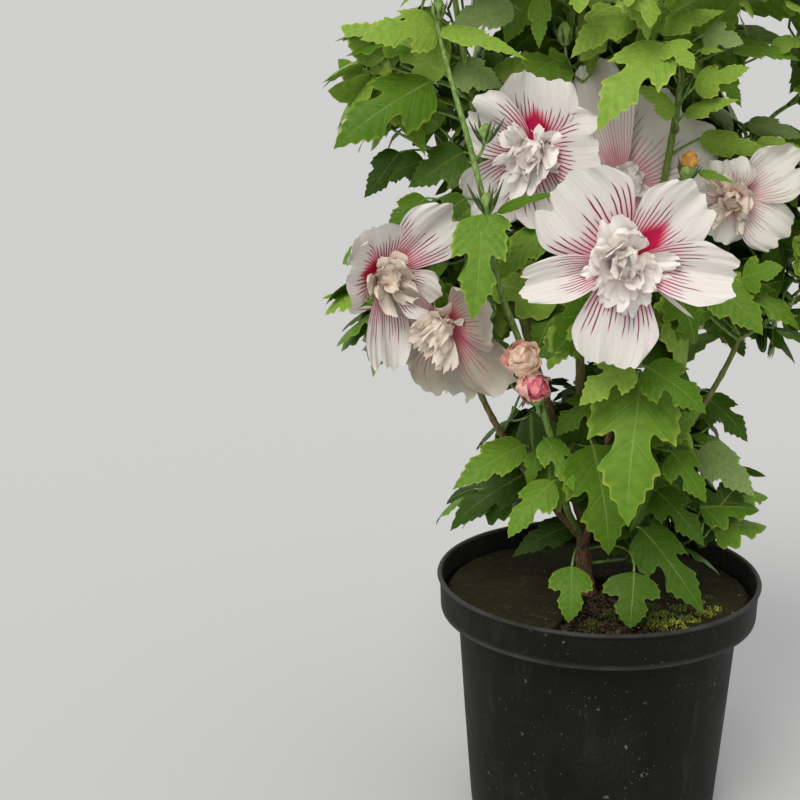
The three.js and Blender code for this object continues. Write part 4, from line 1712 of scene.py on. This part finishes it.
def felt_finish():
    """Matted olive-brown fibre, with thin green growth and pale specks."""
    look = Finish("felt_olive", (0.055, 0.055, 0.028), 0.95, 0.08)
    place = look.here()
    fibre = look.noise(look.here((1, 1, 0.2)), 1300, 4, 0.7)
    cloud = look.noise(place, 26, 4, 0.6)
    speck = look.cells(place, 150)
    mat = look.mix(look.step(fibre, 0.35, 0.68), (0.013, 0.0125, 0.006), (0.05, 0.047, 0.022))
    clumps = look.noise(place, 130, 4, 0.65)
    mat = look.mix(look.step(cloud, 0.46, 0.72, 0, 0.6), mat, (0.034, 0.042, 0.011))
    mat = look.mix(look.step(clumps, 0.52, 0.66, 0, 0.55), mat, (0.072, 0.06, 0.026))
    look.colour(look.mix(look.step(speck, 0.09, 0.05, 0, 0.5), mat, (0.17, 0.16, 0.11)))
    look.bump(look.plus(fibre, clumps), 0.0014, 0.9)
    return look.material


def make_disc():
    """The felt disc with its open wedge at the front, its edges a little lifted and frayed."""
    bpy.ops.object.select_all(action="DESELECT")
    bpy.ops.mesh.primitive_circle_add(vertices=DISC_SIDES, radius=DISC_EYE * MM)
    disc = bpy.context.object
    disc.name = "felt_disc"
    bpy.ops.object.mode_set(mode="EDIT")
    radius = DISC_EYE
    for i in range(1, DISC_RINGS + 1):
        new_radius = DISC_EYE + (DISC_RADIUS - DISC_EYE) * i / DISC_RINGS
        bpy.ops.mesh.extrude_region_move(TRANSFORM_OT_translate={"value": (0, 0, 0)})
        grow = new_radius / radius
        bpy.ops.transform.resize(value=(grow, grow, 1), center_override=(0, 0, 0))
        radius = new_radius
    bpy.ops.object.mode_set(mode="OBJECT")
    split_from, split_to = (math.radians(turn) for turn in DISC_SPLIT)
    for face in disc.data.polygons:
        turn = math.atan2(face.center.y, face.center.x)
        face.select = split_from < turn < split_to
    bpy.ops.object.mode_set(mode="EDIT")
    bpy.ops.mesh.select_mode(type="FACE")
    bpy.ops.mesh.delete(type="FACE")
    bpy.ops.mesh.select_all(action="SELECT")
    bpy.ops.mesh.normals_make_consistent(inside=False)
    bpy.ops.object.mode_set(mode="OBJECT")
    thicken = disc.modifiers.new("thickness", "SOLIDIFY")
    thicken.thickness = (DISC_THICKNESS - 0.6) * MM
    thicken.offset = 0
    bpy.ops.object.modifier_apply(modifier=thicken.name)
    soften = disc.modifiers.new("soft_edge", "BEVEL")
    soften.width = DISC_BEVEL * MM
    soften.segments = 2
    soften.angle_limit = math.radians(50)
    bpy.ops.object.modifier_apply(modifier=soften.name)
    displaced(disc, 0.03, 2.2 * MM)
    displaced(disc, 0.006, 0.8 * MM)
    tilt_to_fill(disc, FILL_HEIGHT + 0.4 + DISC_THICKNESS / 2)
    bpy.ops.object.shade_smooth_by_angle(angle=math.radians(50))
    disc.data.materials.append(felt_finish())
    present(disc, "mulch_felt", "mulch_disc")


def add_pebble(heap, place, size):
    """A small uneven stone or crumb of three rings with five corners."""
    turn = chance.uniform(0, 2 * math.pi)
    corners = turn + 2 * math.pi * np.arange(5) / 5
    rings = []
    for share, height in ((0.75, -0.35), (1.0, 0.05), (0.6, 0.42)):
        reach = size * share * chance.uniform(0.75, 1.15, 5)
        level = np.full(5, size * height)
        rings.append(np.stack([reach * np.cos(corners), reach * np.sin(corners), level], 1))
    heap.add(place + np.concatenate(rings), ring_faces(3, 5))


def add_tuft(heap, place, size, slot):
    """A three-sided moss leaf."""
    turn = chance.uniform(0, 2 * math.pi) + 2 * math.pi * np.arange(3) / 3
    foot = np.stack([np.cos(turn), np.sin(turn), np.zeros(3)], 1) * size * 0.28
    lean = np.array([chance.normal(0, 0.5), chance.normal(0, 0.5), 1.0]) * size
    places = place + np.concatenate([foot, lean[None]])
    faces = [np.array([[0, 1, 3], [1, 2, 3], [2, 0, 3], [2, 1, 0]])]
    heap.add(places, faces, slot)


# Patches of moss: pixel, radius in millimetres, and which of the three mosses most of it is
MOSS_PATCHES = [
    ((704, 620), 12, 0), ((714, 615), 9, 0), ((694, 626), 9, 0), ((682, 614), 12, 1), ((664, 620), 12, 1),
    ((698, 608), 10, 1), ((672, 604), 11, 2), ((650, 612), 11, 2), ((636, 624), 9, 2), ((686, 624), 9, 1),
    ((655, 628), 8, 1), ((590, 628), 9, 2), ((612, 618), 9, 2), ((676, 628), 8, 0), ((708, 604), 8, 2),
]

# Tufts of moss for each square millimetre of a patch's radius squared, how far moss and grit
# reach from the pot's middle, and how many grains and crumbs there are
MOSS_DENSITY = 2.6
EDGE_REACH = 101
GRAINS_BY_RIM, GRAINS_IN_WEDGE, GRAINS_ON_DISC, CRUMBS = 190, 90, 24, 520

# Where the grit in the wedge shows, as pixels across and down
WEDGE_ACROSS = (625, 715)
WEDGE_DOWN = (604, 630)


def on_fill(turn, reach, lift):
    """A place at a turn and a distance from the pot's middle, lifted off the fill."""
    place = np.array([reach * math.cos(turn), reach * math.sin(turn), 0.0])
    place[2] = fill_height(place[None])[0] + lift
    return place


def make_moss():
    """Moss in the disc's open wedge and along the front edge, in low domes."""
    moss = Heap()
    for pixel, radius, slot in MOSS_PATCHES:
        middle = seen_on_fill(pixel)
        for _ in range(int(radius * radius * MOSS_DENSITY)):
            reach = radius * math.sqrt(chance.random())
            turn = chance.uniform(0, 2 * math.pi)
            place = middle + (reach * math.cos(turn), reach * math.sin(turn), 0)
            if np.hypot(place[0], place[1]) > EDGE_REACH:
                continue
            dome = 4.2 * (1 - (reach / radius) ** 2)
            place[2] = fill_height(place[None])[0] - 0.5 + dome + chance.uniform(-0.8, 0.8)
            add_tuft(moss, place, chance.uniform(1.2, 2.8), slot if chance.random() < 0.75 else 2)
    looks = [
        plain_finish("moss_yellow", (0.34, 0.38, 0.03), (0.62, 0.64, 0.1), 300, 0.8),
        plain_finish("moss_green", (0.14, 0.2, 0.02), (0.32, 0.38, 0.05), 300, 0.8),
        plain_finish("moss_olive", (0.05, 0.065, 0.012), (0.14, 0.15, 0.03), 300, 0.8),
    ]
    present(moss.piece("moss_tufts", looks), "moss")


def make_grit():
    """Pale grit by the rim, in the wedge and here and there on the disc."""
    grit = Heap()
    for _ in range(GRAINS_BY_RIM):
        turn = math.radians(chance.uniform(-84, -58))
        place = on_fill(turn, chance.uniform(94, EDGE_REACH), chance.uniform(0.2, 2.4))
        add_pebble(grit, place, chance.uniform(0.5, 1.3))
    for _ in range(GRAINS_IN_WEDGE):
        place = seen_on_fill((chance.uniform(*WEDGE_ACROSS), chance.uniform(*WEDGE_DOWN)))
        if np.hypot(place[0], place[1]) < EDGE_REACH:
            place[2] += chance.uniform(0.5, 3.4)
            add_pebble(grit, place, chance.uniform(0.4, 1.0))
    for _ in range(GRAINS_ON_DISC):
        turn = chance.uniform(0, 2 * math.pi)
        place = on_fill(turn, chance.uniform(30, 98), DISC_THICKNESS + 0.4)
        add_pebble(grit, place, chance.uniform(0.3, 0.7))
    grit_look = plain_finish("grit_pale", (0.24, 0.23, 0.18), (0.55, 0.53, 0.44), 500, 0.85)
    present(grit.piece("grit_grains", [grit_look]), "grit")


def make_crumbs():
    """Loose crumbs of compost in the wedge."""
    crumbs = Heap()
    for _ in range(CRUMBS):
        turn = math.radians(chance.uniform(-112, -44))
        place = on_fill(turn, 100 * math.sqrt(chance.random()), chance.uniform(-0.8, 0.6))
        add_pebble(crumbs, place, chance.uniform(0.8, 2.4))
    crumb_look = plain_finish("crumb_brown", (0.02, 0.013, 0.008), (0.1, 0.066, 0.038), 400, 0.95)
    present(crumbs.piece("compost_crumbs", [crumb_look]), "compost")


def add_crumpled_ball(centre, axis, radius, slots):
    """A wilted ball of petals: patches that hug a creased core, each with its upper edge lifted."""

    def core_radius(share, turn):
        creases = 1 + 0.1 * np.sin(4 * turn + 7 * share)
        return radius * 0.88 * np.sin(math.pi * np.clip(0.06 + 0.9 * share, 0, 1)) ** 0.6 * creases

    core = round_body(axis, centre - axis * radius * 0.85, radius * 1.7, core_radius, 24, 14)
    greens.add(*core, slots[-1])
    a, b = np.meshgrid(np.linspace(-1, 1, 13), np.linspace(-1, 1, 11))
    a, b = a.ravel(), b.ravel()
    side = unit(np.cross(axis, (0.3, 1, 0.2)))
    for i, slot in enumerate(slots):
        polar = math.radians(12 + 112 * (i + 0.5) / len(slots))
        ring = turned(side, axis, i * GOLDEN_ANGLE)
        middle = axis * math.cos(polar) + ring * math.sin(polar)
        rise = unit(axis - middle * (axis @ middle))
        across = np.cross(middle, rise)
        way = unit(middle + np.outer(a * (0.8 + 0.15 * b), across) + np.outer(b * 0.6, rise))
        waves = 0.08 * np.sin(3.5 * a + i) + 0.08 * np.sin(5 * b + 2 * i)
        waves = waves + 0.05 * np.sin(9 * a + 7 * b + i)
        lift = 0.9 + 0.34 * np.clip(b, 0, 1) ** 2 - 0.1 * np.abs(a) ** 3 + waves
        greens.add(centre + way * (radius * lift)[:, None], grid_faces(11, 13), slot)


SPENT_BLOOM = seen_at((527, 374), -88)


def add_spent_bloom():
    """The spent bloom: cream petals crumpled on top of pink ones, on a drooping calyx."""
    axis = unit((-0.15, -0.6, 0.8))
    upper = SPENT_BLOOM + np.array([-2.5, 0.0, 8.0])
    lower = SPENT_BLOOM + np.array([2.5, 1.0, -7.0])
    creams = [CREAM, CREAM, PINK] * 3 + [CREAM, CREAM]
    add_crumpled_ball(upper, axis, 10.4, creams)
    pinks = [MAGENTA, MAGENTA, PINK, MAGENTA, PINK, CREAM, PINK, CREAM, PINK, PINK]
    add_crumpled_ball(lower, unit((0.7, -0.6, -0.1)), 10.0, pinks)
    hang = unit((-0.2, -0.2, 1.0))
    foot = add_calyx(lower + np.array([1.5, 2.0, -3.0]), hang, 11)
    stalk_to(foot + UP, hang, 1.3, 1.2)


# Buds that show: pixel, depth, direction, size, whether the tip shows, and the bracts' share
BUDS = [
    ((685, 182), -30, (0.16, -0.1, 1), 16, True, 0.7),
    ((487, 214), -77, (0.02, -0.25, 1), 14, False, 1.1),
    ((484, 144), -68, (0.1, -0.1, 1), 13, False, 1.1),
    ((565, 46), -20, (-0.05, 0, 1), 15, False, 0.7),
    ((438, 20), -40, (0.05, 0, 1), 13, False, 0.7),
]


def add_buds():
    """Buds that the photograph shows, and more near the tips of the leaders."""
    for pixel, depth, axis, size, coloured, bracts in BUDS:
        add_bud(seen_at(pixel, depth), axis, size, coloured, bracts)
    for name in ("leader_left", "leader_right", "leader_middle"):
        tip = np.array(BOUGHS[name].tip, float)
        for i in range(4):
            turn = i * GOLDEN_ANGLE
            place = tip + np.array([13 * math.cos(turn), 13 * math.sin(turn), 4 + 9 * i])
            way = (0.6 * math.cos(turn), 0.6 * math.sin(turn), 1)
            add_bud(place, way, 13 + chance.uniform(0, 4), i == 0)


def make_plant():
    """The whole plant above the fill, from the limbs to the last bud."""
    make_limbs()
    add_left_shoot()
    for bloom in BLOOMS:
        add_bloom(bloom)
    add_spent_bloom()
    add_buds()
    add_front_leaves()
    dress_stalks()
    grow_masses()
    add_rolled_petal(BLOOMS[0])
    looks = [leaf_finish(name, *colours) for name, colours in LEAF_TINTS.items()]
    for tier, heap in leaf_heaps.items():
        nodes = [f"foliage_{tier}_{side}" for side in TIERS[tier]]
        if tier == "top":
            nodes += [f"foliage_tip_{side}" for side in TIERS["tip"]]
        present(heap.piece("leaves_" + tier, looks, True), "leaf", *nodes)
    present(front_leaves.piece("leaves_front", looks, True), "leaf")
    present(stalks.piece("shoots_and_stalks", [stalk_finish()]), "shoot")
    # The shy look is paler than the plain one, a painted light; the faded one is darker, partly age and
    # partly a painted shade
    petal_looks = [
        petal_finish("petal_veined", (0.81, 0.765, 0.73), (0.7, 0.65, 0.61), 1.0),
        petal_finish("petal_shy_lit", (0.88, 0.84, 0.77), (0.8, 0.755, 0.68), 0.42),
        petal_finish("petal_faded_shaded", (0.4, 0.35, 0.27), (0.33, 0.28, 0.21), 0.55),
    ]
    present(petals.piece("bloom_petals", petal_looks, True), "petal")
    # The cream heart is darker and warmer than the white one, a painted shade for hearts of blooms that
    # stand in shade
    heart_looks = [
        heart_finish("petal_heart_white", (0.95, 0.91, 0.865), (0.91, 0.845, 0.795)),
        heart_finish("petal_heart_shaded_cream", (0.88, 0.79, 0.68), (0.79, 0.67, 0.56)),
    ]
    present(rosettes.piece("bloom_hearts", heart_looks, True), "petal")
    green_looks = [
        plain_finish("calyx_green", (0.14, 0.24, 0.05), (0.3, 0.42, 0.12), 260),
        plain_finish("bud_tip_amber", (0.5, 0.2, 0.03), (0.75, 0.42, 0.09), 260),
        plain_finish("bract_dark", (0.03, 0.06, 0.012), (0.09, 0.14, 0.03), 260),
        plain_finish("spent_cream", (0.72, 0.46, 0.32), (0.88, 0.7, 0.54), 220),
        plain_finish("spent_pink", (0.72, 0.33, 0.28), (0.86, 0.56, 0.47), 220),
        plain_finish("spent_magenta", (0.55, 0.05, 0.13), (0.8, 0.27, 0.3), 220),
    ]
    present(greens.piece("buds_and_calyces", green_looks), "bud")


SUN_TURN = (math.radians(40), 0, math.radians(-20))
SUN_ENERGY = 1.5
SUN_ANGLE = math.radians(28)
SKY_STRENGTH = 0.78
FLOOR_SIZE = 120


def make_stage():
    """A plain pale floor, soft lights and the camera."""
    bpy.ops.object.select_all(action="DESELECT")
    bpy.ops.mesh.primitive_plane_add(size=FLOOR_SIZE)
    floor = bpy.context.object
    floor.name = "floor"
    look = Finish("floor_pale", (0.56, 0.565, 0.574), 0.9, 0.1)
    floor.data.materials.append(look.material)
    world = bpy.data.worlds.new("soft_sky")
    bpy.context.scene.world = world
    world.use_nodes = True
    sky = world.node_tree.nodes["Background"]
    sky.inputs["Color"].default_value = (0.968, 0.964, 0.948, 1)
    sky.inputs["Strength"].default_value = SKY_STRENGTH
    bpy.ops.object.light_add(type="SUN", location=(-1, -1, 2), rotation=SUN_TURN)
    sun = bpy.context.object
    sun.name = "soft_sun"
    sun.data.energy = SUN_ENERGY
    sun.data.angle = SUN_ANGLE
    sun.data.color = (1.0, 0.97, 0.92)
    bpy.ops.object.camera_add(location=tuple(CAMERA_AT * MM))
    camera = bpy.context.object
    camera.rotation_euler = (math.pi / 2 - CAMERA_PITCH, 0, CAMERA_YAW)
    camera.data.sensor_width = SENSOR
    camera.data.lens = SENSOR * FOCAL_PIXELS / FRAME_PIXELS
    camera.data.clip_start = 0.05
    camera.data.clip_end = 200
    bpy.context.scene.camera = camera
    bpy.context.scene.view_settings.view_transform = "Standard"


make_pot()
make_compost()
make_disc()
make_moss()
make_grit()
make_crumbs()
make_plant()
make_stage()
